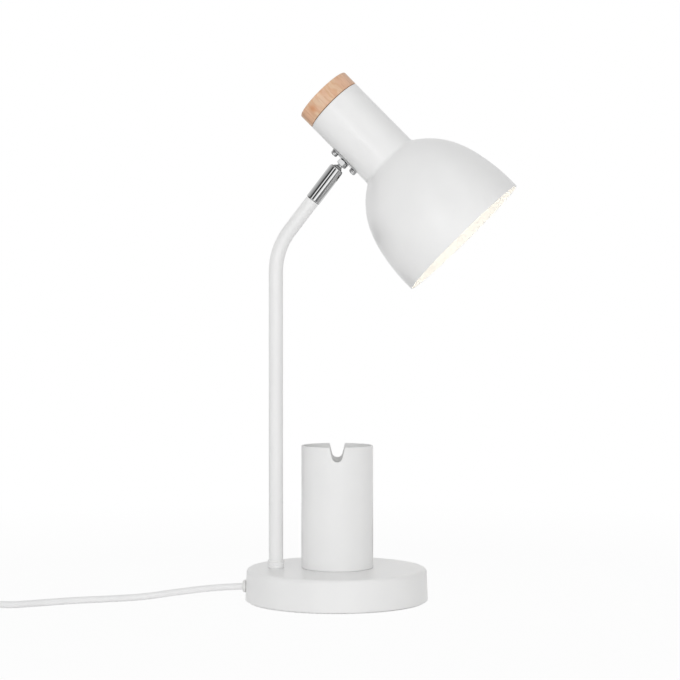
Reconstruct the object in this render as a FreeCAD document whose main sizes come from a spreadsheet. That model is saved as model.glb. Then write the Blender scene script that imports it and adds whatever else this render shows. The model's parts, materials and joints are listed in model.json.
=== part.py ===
import FreeCAD, Part

import itertools
import math
import os

import Sketcher

# Desk lamp on a round base that also carries a pen cup. The cup, the stem and the weight stand on
# the base; a slotted sleeve at the stem's end grips a ball stud, and the stud carries the shade.
# Millimetres, +Z up, +X towards the lit side. The origin is the centre of the foot pad's underside.

V = FreeCAD.Vector
ORIGIN = FreeCAD.Placement()
OVER = 1.0          # how far outside the solid a cut starts
HOLE_PLAY = 0.1     # radial room round a screw or a nipple

doc = FreeCAD.newDocument("desk_lamp")
sheet = doc.addObject("Spreadsheet::Sheet", "Dims")
sheet_rows = itertools.count(1)


# ---------------------------------------------------------------- sizes that remember the sheet

def text_of(number):
    return number.text if isinstance(number, Size) else repr(float(number))


class Size(float):
    """A length that carries the sheet expression it was worked out with."""

    def __new__(cls, value, text):
        number = super().__new__(cls, value)
        number.text = text
        return number

    def __add__(self, other):
        return Size(float(self) + float(other), f"({self.text} + {text_of(other)})")

    def __radd__(self, other):
        return Size(float(other) + float(self), f"({text_of(other)} + {self.text})")

    def __sub__(self, other):
        return Size(float(self) - float(other), f"({self.text} - {text_of(other)})")

    def __rsub__(self, other):
        return Size(float(other) - float(self), f"({text_of(other)} - {self.text})")

    def __mul__(self, other):
        return Size(float(self) * float(other), f"({self.text} * {text_of(other)})")

    __rmul__ = __mul__

    def __truediv__(self, other):
        return Size(float(self) / float(other), f"({self.text} / {text_of(other)})")

    def __neg__(self):
        return Size(-float(self), f"(0 - {self.text})")


def size(alias, value):
    """Writes one driving dimension to the sheet."""
    cell = f"A{next(sheet_rows)}"
    sheet.set(cell, str(value))
    sheet.setAlias(cell, alias)
    return Size(value, f"Dims.{alias}")


def bind(thing, name, value):
    """Sets a property, and ties it to the sheet when its value came from there."""
    setattr(thing, name, float(value))
    if isinstance(value, Size):
        thing.setExpression(name, value.text)


# ---------------------------------------------------------------- driving dimensions

skirt_lift = size("skirt_lift", 1.1)
base_radius = size("base_radius", 74.4)
base_top_radius = size("base_top_radius", 73.3)
base_height = size("base_height", 25.2)
base_edge = size("base_edge_radius", 3.0)
cover_wall = size("cover_wall", 1.2)
base_top = skirt_lift + base_height
cover_inside = base_top - cover_wall

weight_radius = size("weight_radius", 69.0)
weight_height = size("weight_height", 10.0)
weight_bottom = cover_inside - weight_height
boss_radius = size("boss_radius", 5.0)
boss_circle = size("boss_circle", 56.0)
boss_turns = (30, 150, 270)

pad_radius = size("pad_radius", 72.4)
pad_thickness = size("pad_thickness", 1.8)
plate_radius = size("plate_radius", 72.6)
plate_thickness = size("plate_thickness", 1.2)
plate_top = pad_thickness + plate_thickness
bottom_screw_radius = size("bottom_screw_radius", 1.9)
bottom_screw_head = size("bottom_screw_head", 3.6)
bottom_screw_rise = size("bottom_screw_head_height", 1.5)
bottom_screw_depth = size("bottom_screw_depth", 7.5)

channel_half = size("channel_half_width", 7.0)
channel_depth = size("channel_depth", 3.6)

cup_radius = size("cup_radius", 29.3)
cup_height = size("cup_height", 99.8)
cup_wall = size("cup_wall", 1.0)
cup_foot = size("cup_foot_radius", 0.9)
cup_back = size("cup_set_back", 3.0)
cup_right = size("cup_set_right", 0.5)
cup_rim = base_top + cup_height
notch_half = size("notch_half_width", 6.35)
notch_depth = size("notch_depth", 11.7)
notch_round = size("notch_round", 4.4)
notch_flare = 14.0
cup_screw_radius = size("cup_screw_radius", 2.5)
cup_washer_radius = size("cup_washer_radius", 7.0)
cup_washer_height = size("cup_washer_height", 1.0)
cup_nut_flats = size("cup_nut_flats", 8.0)
cup_nut_height = size("cup_nut_height", 4.0)

stem_radius = size("stem_radius", 5.8)
stem_wall = size("stem_wall", 0.8)
stem_bore = stem_radius - stem_wall
stem_offset = size("stem_offset", 49.5)
stem_corner = size("stem_corner_height", 286.4)
stem_bend = size("stem_bend_radius", 55.5)
stem_lean = 37.3
nipple_bore = size("nipple_bore", 3.4)
nipple_up = size("nipple_up", 15.0)
nipple_down = size("nipple_down", 10.3)
nut_recess = size("nut_recess", 6.0)
nut_recess_radius = size("nut_recess_radius", 11.0)
stem_washer_radius = size("stem_washer_radius", 9.0)
stem_washer_height = size("stem_washer_height", 1.2)
stem_nut_flats = size("stem_nut_flats", 14.0)
stem_nut_height = size("stem_nut_height", 3.0)
collar_edge = size("collar_edge_radius", 6.3)
collar_bead = size("collar_bead_height", 2.3)
collar_round = size("collar_bead_round", 1.7)
collar_beads = 3

cord_radius = size("cord_radius", 2.7)
cord_height = size("cord_exit_height", 11.4)
lead_radius = size("lead_radius", 1.6)
lead_turn = size("lead_turn", 8.0)
lead_tail = size("lead_tail", 2.5)
head_lead_radius = size("head_lead_radius", 1.3)
bush_at = 74.0
bush_collar = size("bush_collar_radius", 5.15)
bush_neck = size("bush_neck_radius", 4.4)
bush_out = size("bush_out", 2.6)
bush_in = size("bush_in", 18.0)

sleeve_start = size("sleeve_start", 49.0)
sleeve_gap = size("sleeve_gap", 0.3)
sleeve_radius = size("sleeve_radius", 6.3)
sleeve_end = size("sleeve_end", 82.6)
sleeve_crown = size("sleeve_crown", 1.9)
sleeve_chamfer = size("sleeve_chamfer", 0.7)
spigot_radius = size("spigot_radius", 4.6)
spigot_depth = size("spigot_depth", 11.0)
spigot_thread = size("spigot_thread", 12.0)
pivot_radius = size("pivot_radius", 3.0)
web_from = size("web_from", 59.3)
web_to = size("web_to", 62.3)
chamber_from = size("chamber_from", 65.0)
head_room = size("head_room", 4.2)
spring_rise = size("spring_rise", 1.4)
spring_sheet = size("spring_sheet", 0.6)
spring_bore = size("spring_bore", 2.6)
ball_seat_bore = size("ball_seat_bore", 2.2)
ball_at = size("ball_at", 80.0)
ball_radius = size("ball_radius", 5.1)
seat_radius = size("seat_radius", 5.16)
slot_half = size("slot_half_width", 2.95)
slot_from = size("slot_from", 73.4)
slot_turn = -10.0
running_gap = size("running_gap", 0.06)

head_pitch = 45.75
head_roll = 4.5
stud_along = size("stud_along", 39.05)
stud_reach = size("stud_reach", 36.25)
stud_radius = size("stud_radius", 2.5)
stud_length = size("stud_length", 12.85)
stud_nut_flats = size("stud_nut_flats", 8.0)
stud_nut_height = size("stud_nut_height", 4.2)
stud_nut_turn = -7.7
bracket_wall = size("bracket_wall", 1.2)
bracket_length = size("bracket_length", 27.0)
bracket_sweep = size("bracket_sweep", 27.0)
bracket_corner = size("bracket_corner", 3.5)
bracket_spacing = size("bracket_spacing", 21.0)
bracket_screw = size("bracket_screw", 1.6)
plate_screw_head = size("plate_screw_head", 3.1)
plate_screw_rise = size("plate_screw_rise", 2.6)
strip_wall = size("strip_wall", 1.2)

neck_radius = size("neck_radius", 25.0)
neck_gap = size("neck_gap", 0.4)
neck_edge = size("neck_edge", 0.5)
shade_wall = size("shade_wall", 1.0)
neck_end = size("neck_end", 63.2)
flare_round = size("flare_round", 4.0)
flare_radius = size("flare_radius", 26.8)
flare_end = size("flare_end", 66.6)
shoulder_radius = size("shoulder_radius", 50.5)
shoulder_end = size("shoulder_end", 95.4)
shoulder_round = size("shoulder_round", 64.0)
waist_radius = size("waist_radius", 54.8)
waist_end = size("waist_end", 108.0)
waist_round = size("waist_round", 90.0)
rim_radius = size("rim_radius", 59.35)
rim_end = size("rim_end", 151.3)
rim_round = size("rim_round", 154.0)

wood_radius = size("wood_radius", 25.0)
wood_height = size("wood_height", 12.9)
wood_edge = size("wood_edge", 0.8)
wood_floor = size("wood_floor", 10.0)
wood_recess = size("wood_recess_radius", 12.0)
insert_radius = size("insert_radius", 7.5)
insert_depth = size("insert_depth", 4.5)
head_nipple = size("head_nipple_radius", 5.0)
head_nipple_bore = size("head_nipple_bore", 3.0)
head_nipple_top = size("head_nipple_top", 14.0)
nipple_nut_height = size("nipple_nut_height", 2.6)
nipple_nut_flats = size("nipple_nut_flats", 14.0)

holder_foot = size("holder_foot", 9.0)
holder_end = size("holder_end", 60.0)
holder_neck = size("holder_neck_radius", 8.5)
holder_radius = size("holder_radius", 18.8)
holder_bore = size("holder_bore", 14.0)
holder_wall = size("holder_wall", 3.0)
contact_hole = size("contact_hole", 3.0)
lamp_foot = size("lamp_foot", 30.6)
lamp_cap_end = size("lamp_cap_end", 58.0)

globe_radius = size("globe_radius", 22.5)
globe_centre = size("globe_centre", 85.5)
globe_seat = size("globe_seat", 18.5)
globe_wall = size("globe_wall", 1.0)
bulb_cap_radius = size("bulb_cap_radius", 13.03)

coil_radius = size("coil_radius", 32.4)
coil_half = size("coil_half_width", 10.8)
coil_height = size("coil_height", 10.1)
coil_corner = size("coil_corner", 2.5)
tie_wall = size("tie_wall", 0.8)
tie_width = size("tie_width", 7.0)

switch_length = size("switch_length", 58.0)
switch_width = size("switch_width", 25.0)
switch_half = size("switch_half_height", 7.5)
switch_tip = size("switch_tip", 6.5)
switch_taper = size("switch_taper", 11.0)
switch_corner = size("switch_corner", 4.0)
switch_edge = size("switch_edge", 2.0)
switch_floor = size("switch_floor", 0.0)
switch_well_floor = size("switch_well_floor", 3.0)
bore_stop = size("bore_stop", 22.0)
rocker_length = size("rocker_length", 15.0)
rocker_width = size("rocker_width", 9.0)
rocker_pin = size("rocker_pin", 1.2)
rocker_rise = size("rocker_rise", 3.4)
rocker_shoulder = size("rocker_shoulder", 2.6)
rocker_top = size("rocker_top", 4.4)
rocker_dip = size("rocker_dip", 3.6)

plug_length = size("plug_length", 34.0)
plug_half = size("plug_half_width", 13.0)
plug_depth = size("plug_depth", 13.6)
plug_neck = size("plug_neck", 5.0)
plug_taper = size("plug_taper", 8.0)
plug_edge = size("plug_edge", 2.5)
plug_bore_depth = size("plug_bore_depth", 7.0)
pin_radius = size("pin_radius", 2.0)
pin_length = size("pin_length", 19.0)
pin_sleeve = size("pin_sleeve", 10.0)
pin_tip = size("pin_tip", 1.5)
pin_spacing = size("pin_spacing", 18.6)

doc.recompute()

STEM_TOP = V(-float(stem_offset), 0, float(stem_corner))
SLEEVE_FRAME = FreeCAD.Placement(STEM_TOP, FreeCAD.Rotation(V(0, 1, 0), stem_lean))
SLEEVE_TURNED = SLEEVE_FRAME * FreeCAD.Placement(V(), FreeCAD.Rotation(V(0, 0, 1), slot_turn))
BALL = SLEEVE_FRAME.multVec(V(0, 0, float(ball_at)))


def head_frame():
    """The shade's own frame: +Z out of its mouth, +X from its axis towards the bracket."""
    pitch = math.radians(head_pitch)
    outward = V(-math.sin(pitch), 0, -math.cos(pitch))
    level = V(math.cos(pitch), 0, -math.sin(pitch))
    roll = FreeCAD.Rotation(outward, head_roll)
    mouth = roll.multVec(level)
    turn = FreeCAD.Rotation(outward, mouth.cross(outward), mouth, "ZXY")
    return FreeCAD.Placement(BALL - turn.multVec(V(float(stud_reach), 0, float(stud_along))), turn)


HEAD_FRAME = head_frame()
STUD_FRAME = HEAD_FRAME * FreeCAD.Placement(
    V(float(stud_reach), 0, float(stud_along)), FreeCAD.Rotation(V(0, 1, 0), -90))


# ---------------------------------------------------------------- drawing and making

def plane_of(body, role):
    return next(plane for plane in body.Origin.OriginFeatures if plane.Role == role)


def arc_between(start, end, radius):
    """The short arc from start to end: a positive radius turns left, a negative one right."""
    chord = end - start
    left = V(-chord.y, chord.x, 0).normalize()
    rise = math.sqrt(radius ** 2 - (chord.Length / 2) ** 2)
    middle = (start + end) / 2 - left * math.copysign(abs(radius) - rise, radius)
    return Part.Arc(start, middle, end) if radius > 0 else Part.Arc(end, middle, start)


def fix_point(sketch, item, end, x, y):
    for kind, value in (("DistanceX", x), ("DistanceY", y)):
        fixed = sketch.addConstraint(Sketcher.Constraint(kind, -1, 1, item, end, float(value)))
        if isinstance(value, Size):
            sketch.setExpression(f"Constraints[{fixed}]", value.text)


def draw(body, role, outlines=(), circles=(), offset=None, name="outline", closed=True):
    """Draws outlines on one of the body's own origin planes.

    An outline is a list of (x, y), or (x, y, radius) for a point that an arc leads to.
    A circle is (x, y, radius).
    """
    sketch = body.newObject("Sketcher::SketchObject", f"{body.Name}_{name}")
    sketch.AttachmentSupport = [(plane_of(body, role), "")]
    sketch.MapMode = "FlatFace"
    if offset is not None:
        sketch.AttachmentOffset = FreeCAD.Placement(V(0, 0, float(offset)), FreeCAD.Rotation())
        if isinstance(offset, Size):
            sketch.setExpression("AttachmentOffset.Base.z", offset.text)
    for outline in outlines:
        draw_outline(sketch, outline, closed)
    for x, y, radius in circles:
        circle = Part.Circle(V(float(x), float(y), 0), V(0, 0, 1), float(radius))
        item = sketch.addGeometry(circle, False)
        fix_point(sketch, item, 3, x, y)
        bound = sketch.addConstraint(Sketcher.Constraint("Radius", item, float(radius)))
        if isinstance(radius, Size):
            sketch.setExpression(f"Constraints[{bound}]", radius.text)
    return sketch


def draw_outline(sketch, outline, closed):
    ends = []
    pairs = list(zip(outline, outline[1:] + outline[:1] if closed else outline[1:]))
    for start, end in pairs:
        here, there = V(float(start[0]), float(start[1]), 0), V(float(end[0]), float(end[1]), 0)
        if len(end) == 3:
            radius = end[2]
            item = sketch.addGeometry(arc_between(here, there, float(radius)), False)
            ends.append(((item, 1), (item, 2)) if radius > 0 else ((item, 2), (item, 1)))
            bound = sketch.addConstraint(Sketcher.Constraint("Radius", item, abs(float(radius))))
            if isinstance(radius, Size):
                sketch.setExpression(f"Constraints[{bound}]", f"abs({radius.text})")
        else:
            item = sketch.addGeometry(Part.LineSegment(here, there), False)
            ends.append(((item, 1), (item, 2)))
    for number, ((first, last), (start, end)) in enumerate(zip(ends, pairs)):
        fix_point(sketch, first[0], first[1], start[0], start[1])
        if closed:
            following = ends[(number + 1) % len(ends)][0]
            sketch.addConstraint(Sketcher.Constraint("Coincident", *last, *following))
        elif number + 1 < len(ends):
            sketch.addConstraint(Sketcher.Constraint("Coincident", *last, *ends[number + 1][0]))
        else:
            fix_point(sketch, last[0], last[1], end[0], end[1])


def new_body(label, frame=ORIGIN):
    body = doc.addObject("PartDesign::Body", label)
    body.Placement = frame
    return body


def turn(body, sketch, sweep=360.0):
    made = body.newObject("PartDesign::Revolution", f"{body.Name}_turned")
    made.Profile = sketch
    made.ReferenceAxis = (sketch, ["V_Axis"])
    made.Midplane = sweep != 360.0
    bind(made, "Angle", sweep)
    doc.recompute()
    return made


def turned(label, outline, frame=ORIGIN, sweep=360.0):
    """A piece of revolution about its own Z: the outline is (radius, height)."""
    body = new_body(label, frame)
    turn(body, draw(body, "XZ_Plane", [outline]), sweep)
    return body


def padded(label, height, outlines=(), circles=(), frame=ORIGIN, role="XY_Plane", offset=None, both=False):
    body = new_body(label, frame)
    made = body.newObject("PartDesign::Pad", f"{label}_pad")
    made.Profile = draw(body, role, outlines, circles, offset)
    bind(made, "Length", height)
    made.SideType = "Symmetric" if both else "One side"
    doc.recompute()
    return body


def cut(body, name, role, depth, outlines=(), circles=(), offset=None, back=False, both=False):
    """Pockets a sketch out of the body, and stops if nothing was removed."""
    before = body.Shape.Volume
    made = body.newObject("PartDesign::Pocket", f"{body.Name}_{name}")
    made.Profile = draw(body, role, outlines, circles, offset, name + "_outline")
    bind(made, "Length", depth)
    made.SideType = "Symmetric" if both else "One side"
    made.Reversed = back
    doc.recompute()
    if body.Shape.Volume >= before:
        raise ValueError(f"{made.Name} removes nothing")


def hollow(body, wall, open_height):
    """Shells the body and opens its flat face at that height of its own Z."""
    solid = body.Tip
    face = next(
        f"Face{number}" for number, face in enumerate(solid.Shape.Faces, 1)
        if isinstance(face.Surface, Part.Plane) and abs(face.CenterOfMass.z - open_height) < 0.01)
    made = body.newObject("PartDesign::Thickness", f"{body.Name}_shell")
    made.Base = (solid, [face])
    bind(made, "Value", wall)
    made.Reversed = True
    made.Join = "Intersection"
    doc.recompute()


def round_edges(body, radius, wanted, name="edge"):
    """Rounds the edges for which wanted(edge) holds."""
    solid = body.Tip
    edges = [f"Edge{number}" for number, edge in enumerate(solid.Shape.Edges, 1) if wanted(edge)]
    made = body.newObject("PartDesign::Fillet", f"{body.Name}_{name}")
    made.Base = (solid, edges)
    bind(made, "Radius", radius)
    doc.recompute()


def ring_at(height, radius=None):
    """Picks whole circles at a height of the body's own Z, and of a radius where one is given."""
    def wanted(edge):
        if not isinstance(edge.Curve, Part.Circle) or len(edge.Vertexes) != 1:
            return False
        level = abs(edge.Curve.Center.z - float(height)) < 0.01
        return level and (radius is None or abs(edge.Curve.Radius - float(radius)) < 0.01)
    return wanted


def group(label, pieces):
    """One node of several like pieces."""
    made = doc.addObject("Part::Compound", label)
    made.Links = pieces
    return made


def hexagon(across_flats):
    corner = across_flats / math.sqrt(3)
    turns = [math.radians(60 * step) for step in range(6)]
    return [(corner * math.cos(angle), corner * math.sin(angle)) for angle in turns]


def nut(label, across_flats, height, bore, frame):
    """A plain hexagon nut with its bearing face at the frame's origin."""
    body = padded(label, height, [hexagon(across_flats)], frame=frame)
    cut(body, "bore", "XY_Plane", height, circles=[(0, 0, bore)], back=True)
    return body


def pan_screw(label, radius, head, rise, length, frame):
    """A pan-head screw: its head stands on the frame's origin plane, its shank points down."""
    crown = rise * 0.6
    outline = [(0, -length), (radius, -length), (radius, 0), (head, 0), (head, rise - crown),
               (head - crown, rise, crown), (0, rise)]
    body = turned(label, outline, frame)
    cut(body, "recess", "XY_Plane", rise * 0.55, [cross_recess(head)], offset=rise)
    return body


def cross_recess(head):
    arm, half = head * 0.55, head * 0.14
    corners = [(arm, -half), (arm, half), (half, half), (half, arm), (-half, arm), (-half, half)]
    return corners + [(-x, -y) for x, y in corners]


def rounded_route(points):
    """Straight runs joined by tangent arcs, each as large as its two runs allow."""
    points = [V(*point) for point in points]
    edges, radii, start = [], [], points[0]
    for before, corner, after in zip(points, points[1:], points[2:]):
        arriving, leaving = (corner - before), (after - corner)
        half_turn = arriving.getAngle(leaving) / 2
        reach = 0.45 * min(arriving.Length, leaving.Length)
        radii.append(reach / math.tan(half_turn))
        arriving.normalize()
        leaving.normalize()
        enter, leave = corner - arriving * reach, corner + leaving * reach
        inward = (leaving - arriving).normalize()
        middle = corner + inward * (radii[-1] / math.cos(half_turn) - radii[-1])
        edges.append(Part.LineSegment(start, enter).toShape())
        edges.append(Part.Arc(enter, middle, leave).toShape())
        start = leave
    edges.append(Part.LineSegment(start, points[-1]).toShape())
    return Part.Wire(edges), radii


def tube_along(label, points, radius):
    """Sweeps a round section along a route and compares the volume with section times length."""
    path, radii = rounded_route(points)
    direction = V(*points[1]) - V(*points[0])
    section = Part.Wire([Part.Circle(V(*points[0]), direction, float(radius)).toShape()])
    shape = path.makePipeShell([section], True, False)
    expected = math.pi * float(radius) ** 2 * path.Length
    print(f"{label}: length {path.Length:.0f}, radii {min(radii):.0f} to {max(radii):.0f},",
          f"volume {shape.Volume / expected:.4f} of section times length")
    return shape


# ---------------------------------------------------------------- base

def base_cover():
    """A deep-drawn lid with a slightly tapered side and an open underside."""
    outline = [(0, skirt_lift), (base_radius, skirt_lift), (base_top_radius, base_top), (0, base_top)]
    body = turned("base_cover", outline)
    round_edges(body, base_edge, ring_at(base_top, base_top_radius))
    hollow(body, cover_wall, float(skirt_lift))
    for name, x, y, radius in (("stem_hole", -stem_offset, 0, stem_bore),
                               ("cup_hole", cup_right, cup_back, cup_screw_radius)):
        cut(body, name, "XY_Plane", cover_wall * 3, circles=[(x, y, radius + HOLE_PLAY)],
            offset=cover_inside - OVER, back=True)
    cut(body, "cord_hole", "YZ_Plane", base_radius, circles=[(0, cord_height, bush_neck)])
    return body


def bosses(radius):
    """Circles of one radius round the three feet of the weight."""
    points = []
    for degrees in boss_turns:
        angle = math.radians(degrees)
        points.append((boss_circle * math.cos(angle), boss_circle * math.sin(angle), radius))
    return points


def base_weight():
    """A cast disc under the lid, with three feet that the bottom plate is screwed to."""
    body = padded("base_weight", weight_height, circles=[(0, 0, weight_radius)], offset=weight_bottom)
    made = body.newObject("PartDesign::Pad", "base_weight_bosses")
    made.Profile = draw(body, "XY_Plane", circles=bosses(boss_radius), offset=plate_top, name="boss_outline")
    bind(made, "Length", weight_bottom - plate_top + OVER)
    doc.recompute()
    cut(body, "screw_holes", "XY_Plane", bottom_screw_depth + OVER, circles=bosses(bottom_screw_radius),
        offset=plate_top - OVER, back=True)
    underside = weight_bottom - OVER
    for name, x, y, radius, depth in (
            ("stem_hole", -stem_offset, 0, stem_bore + HOLE_PLAY, weight_height * 2),
            ("nut_recess", -stem_offset, 0, nut_recess_radius, nut_recess + OVER),
            ("cup_hole", cup_right, cup_back, cup_screw_radius + HOLE_PLAY, weight_height * 2)):
        cut(body, name, "XY_Plane", depth, circles=[(x, y, radius)], offset=underside, back=True)
    outer = -weight_radius - 2
    channel = [(outer, -channel_half), (-stem_offset, -channel_half),
               (-stem_offset, channel_half), (outer, channel_half)]
    cut(body, "cord_channel", "XY_Plane", channel_depth + OVER, [channel], offset=underside, back=True)
    return body


def bottom_plate():
    return padded("bottom_plate", plate_thickness, offset=pad_thickness,
                  circles=[(0, 0, plate_radius)] + bosses(bottom_screw_radius + 0.2))


def foot_pad():
    return padded("foot_pad", pad_thickness, circles=[(0, 0, pad_radius)] + bosses(bottom_screw_head + 1.2))


def bottom_screws():
    head_down = FreeCAD.Rotation(V(1, 0, 0), 180)
    screws = []
    for number, (x, y, _) in enumerate(bosses(0), 1):
        frame = FreeCAD.Placement(V(float(x), float(y), float(pad_thickness)), head_down)
        screws.append(pan_screw(f"bottom_screw_{number}", bottom_screw_radius, bottom_screw_head,
                                bottom_screw_rise, bottom_screw_depth, frame))
    return group("bottom_screws", screws)


def cord_bush():
    """A snap-in bush: local Z runs out of the base, and zero is the lid's outside."""
    frame = FreeCAD.Placement(V(-bush_at, 0, float(cord_height)), FreeCAD.Rotation(V(0, 1, 0), -90))
    snap, neck, face = bush_neck + 0.5, bush_neck - 0.05, 0.2
    outline = [(cord_radius, -bush_in), (cord_radius + 0.6, -bush_in), (snap, -2.2), (neck, -1.4),
               (neck, face), (bush_collar, face), (bush_collar - 0.1, face + 1),
               (bush_neck - 0.3, bush_out, 2.2), (cord_radius, bush_out)]
    return turned("cord_bush", outline, frame)


# ---------------------------------------------------------------- pen cup

def pen_cup():
    """A drawn cup with a U-shaped notch in front and behind."""
    outline = [(0, base_top), (cup_radius, base_top), (cup_radius, cup_rim), (0, cup_rim)]
    body = turned("pen_cup", outline, at_cup(0))
    hollow(body, cup_wall, float(cup_rim))
    round_edges(body, cup_foot, ring_at(base_top, cup_radius))
    flare = math.radians(notch_flare)
    side = notch_round * math.cos(flare)
    low = cup_rim - notch_depth
    turn_in = low + notch_round * (1 - math.sin(flare))
    mouth = notch_half + OVER * math.tan(flare)
    notch = [(-mouth, cup_rim + OVER), (-side, turn_in), (0, low, notch_round),
             (side, turn_in, notch_round), (mouth, cup_rim + OVER)]
    cut(body, "notches", "XZ_Plane", cup_radius * 3, [notch], both=True)
    cut(body, "screw_hole", "XY_Plane", cup_wall * 3, circles=[(0, 0, cup_screw_radius + HOLE_PLAY)],
        offset=base_top - OVER, back=True)
    return body


def at_cup(height):
    return FreeCAD.Placement(V(float(cup_right), float(cup_back), float(height)), FreeCAD.Rotation())


def cup_fastening():
    """A screw through the cup's floor, the lid and the weight, with a washer and a nut."""
    floor = base_top + cup_wall
    bore = cup_screw_radius + HOLE_PLAY
    below = weight_bottom - cup_nut_height
    pan_screw("cup_screw", cup_screw_radius, cup_screw_radius * 1.9, cup_screw_radius * 1.1,
              floor + cup_washer_height - below + 0.8, at_cup(floor + cup_washer_height))
    top = floor + cup_washer_height
    washer = [(bore, floor), (cup_washer_radius, floor), (cup_washer_radius, top), (bore, top)]
    turned("cup_washer", washer, at_cup(0))
    nut("cup_nut", cup_nut_flats, cup_nut_height, cup_screw_radius, at_cup(below))


# ---------------------------------------------------------------- stem

def stem_path(body, bottom, top, name, turn_in=None):
    """Centreline of the stem from a height up to a distance past the bend's corner."""
    lean = math.radians(stem_lean)
    reach = stem_bend * math.tan(lean / 2)
    points = [(-stem_offset, stem_corner - reach),
              (-stem_offset + reach * math.sin(lean), stem_corner + reach * math.cos(lean), -stem_bend),
              (-stem_offset + top * math.sin(lean), stem_corner + top * math.cos(lean))]
    if turn_in is None:
        points.insert(0, (-stem_offset, bottom))
    else:
        points[:0] = [(-stem_offset - turn_in - lead_tail, bottom), (-stem_offset - turn_in, bottom),
                      (-stem_offset, bottom + turn_in, turn_in)]
    return draw(body, "XZ_Plane", [points], name=name, closed=False)


def pipe(body, profile, spine):
    made = body.newObject("PartDesign::AdditivePipe", f"{body.Name}_pipe")
    made.Profile = profile
    made.Spine = (spine, [])
    doc.recompute()


def stem_tube():
    body = new_body("stem_tube")
    rings = [(-stem_offset, 0, stem_radius), (-stem_offset, 0, stem_bore)]
    pipe(body, draw(body, "XY_Plane", circles=rings, offset=base_top, name="section"),
         stem_path(body, base_top, sleeve_start, "path"))
    return body


def stem_lead():
    """The inner lead: in from the cord's end, up the stem and out at the joint."""
    body = new_body("stem_lead")
    section = draw(body, "YZ_Plane", circles=[(0, cord_height, lead_radius)],
                   offset=-stem_offset - lead_turn - lead_tail, name="section")
    pipe(body, section, stem_path(body, cord_height, sleeve_start - OVER, "path", lead_turn))
    return body


def at_stem(height):
    return FreeCAD.Placement(V(-float(stem_offset), 0, float(height)), FreeCAD.Rotation())


def stem_fastening():
    """A hollow threaded nipple in the tube's foot, with a washer and a nut under the weight."""
    nipple = [(nipple_bore, -nipple_down), (stem_bore, -nipple_down),
              (stem_bore, nipple_up), (nipple_bore, nipple_up)]
    turned("stem_nipple", nipple, at_stem(base_top))
    face = weight_bottom + nut_recess
    under, bore = face - stem_washer_height, stem_bore + HOLE_PLAY
    washer = [(bore, under), (stem_washer_radius, under), (stem_washer_radius, face), (bore, face)]
    turned("stem_washer", washer, at_stem(0))
    nut("stem_nut", stem_nut_flats, stem_nut_height, stem_bore, at_stem(under - stem_nut_height))


def stem_collar():
    """A turned trim ring of three beads that hides the joint between the tube and the lid."""
    bore = stem_radius + running_gap
    outline = [(bore, base_top), (collar_edge, base_top)]
    for number in range(1, collar_beads + 1):
        outline.append((collar_edge, base_top + collar_bead * number, collar_round))
    outline.append((bore, base_top + collar_bead * collar_beads))
    return turned("stem_collar", outline, at_stem(0))


# ---------------------------------------------------------------- ball joint

def stem_spigot():
    """A turned plug in the tube's end, on which the sleeve turns."""
    low, high = sleeve_start - spigot_depth, web_from - sleeve_gap
    bore, floor = lead_radius + 0.3, web_from - spigot_thread
    outline = [(bore, low), (stem_bore, low), (stem_bore, sleeve_start), (spigot_radius, sleeve_start),
               (spigot_radius, high), (pivot_radius, high), (pivot_radius, floor), (bore, floor)]
    return turned("stem_spigot", outline, SLEEVE_FRAME)


def pivot_screw():
    """A hollow screw whose head keeps the sleeve on the spigot."""
    bore, low = lead_radius + HOLE_PLAY, web_from - spigot_thread + OVER
    seat, head, top = web_to + HOLE_PLAY, head_room - 0.3, chamber_from - 0.4
    outline = [(bore, low), (pivot_radius, low), (pivot_radius, seat), (head, seat), (head, top), (bore, top)]
    return turned("pivot_screw", outline, SLEEVE_FRAME)


def joint_sleeve():
    """The mouth is rolled in over the ball, and the slot lets the stud fold down to one side."""
    mouth_rise = sleeve_end - ball_at
    mouth = Size(math.sqrt(float(seat_radius) ** 2 - float(mouth_rise) ** 2),
                 f"sqrt({seat_radius.text}^2 - {mouth_rise.text}^2)")
    bottom = sleeve_start + sleeve_gap
    on_spigot, on_pivot = spigot_radius + running_gap, pivot_radius + running_gap
    outline = [(on_spigot, bottom), (sleeve_radius - sleeve_chamfer, bottom),
               (sleeve_radius, bottom + sleeve_chamfer), (sleeve_radius, sleeve_end - sleeve_crown),
               (sleeve_radius - sleeve_crown, sleeve_end, sleeve_crown), (mouth, sleeve_end),
               (seat_radius, ball_at, -seat_radius), (seat_radius, chamber_from),
               (head_room, chamber_from), (head_room, web_to), (on_pivot, web_to), (on_pivot, web_from),
               (on_spigot, web_from)]
    body = turned("joint_sleeve", outline, SLEEVE_TURNED)
    over = sleeve_end + OVER
    slot = [(slot_half, over), (-slot_half, over), (-slot_half, slot_from + slot_half),
            (0, slot_from, slot_half), (slot_half, slot_from + slot_half, slot_half)]
    cut(body, "slot", "YZ_Plane", sleeve_radius * 2, [slot], back=True)
    return body


def ball_spring():
    """A coned disc spring pushes the nylon seat up against the ball."""
    low, high, edge = chamber_from, chamber_from + spring_rise, seat_radius - HOLE_PLAY
    bore, sheet_height = spring_bore, spring_sheet
    spring = [(bore, high - sheet_height), (edge, low), (edge, low + sheet_height), (bore, high)]
    turned("seat_spring", spring, SLEEVE_TURNED)

    outside, below_ball = seat_radius - running_gap, 3.5
    rim = math.sqrt(float(seat_radius) ** 2 - below_ball ** 2)
    deepest = float(ball_at) - math.sqrt(float(seat_radius) ** 2 - float(ball_seat_bore) ** 2)
    shelf = ball_at - below_ball
    seat = [(ball_seat_bore, high), (outside, high), (outside, shelf), (rim, shelf),
            (ball_seat_bore, deepest, -seat_radius)]
    turned("ball_seat", seat, SLEEVE_TURNED)


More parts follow.
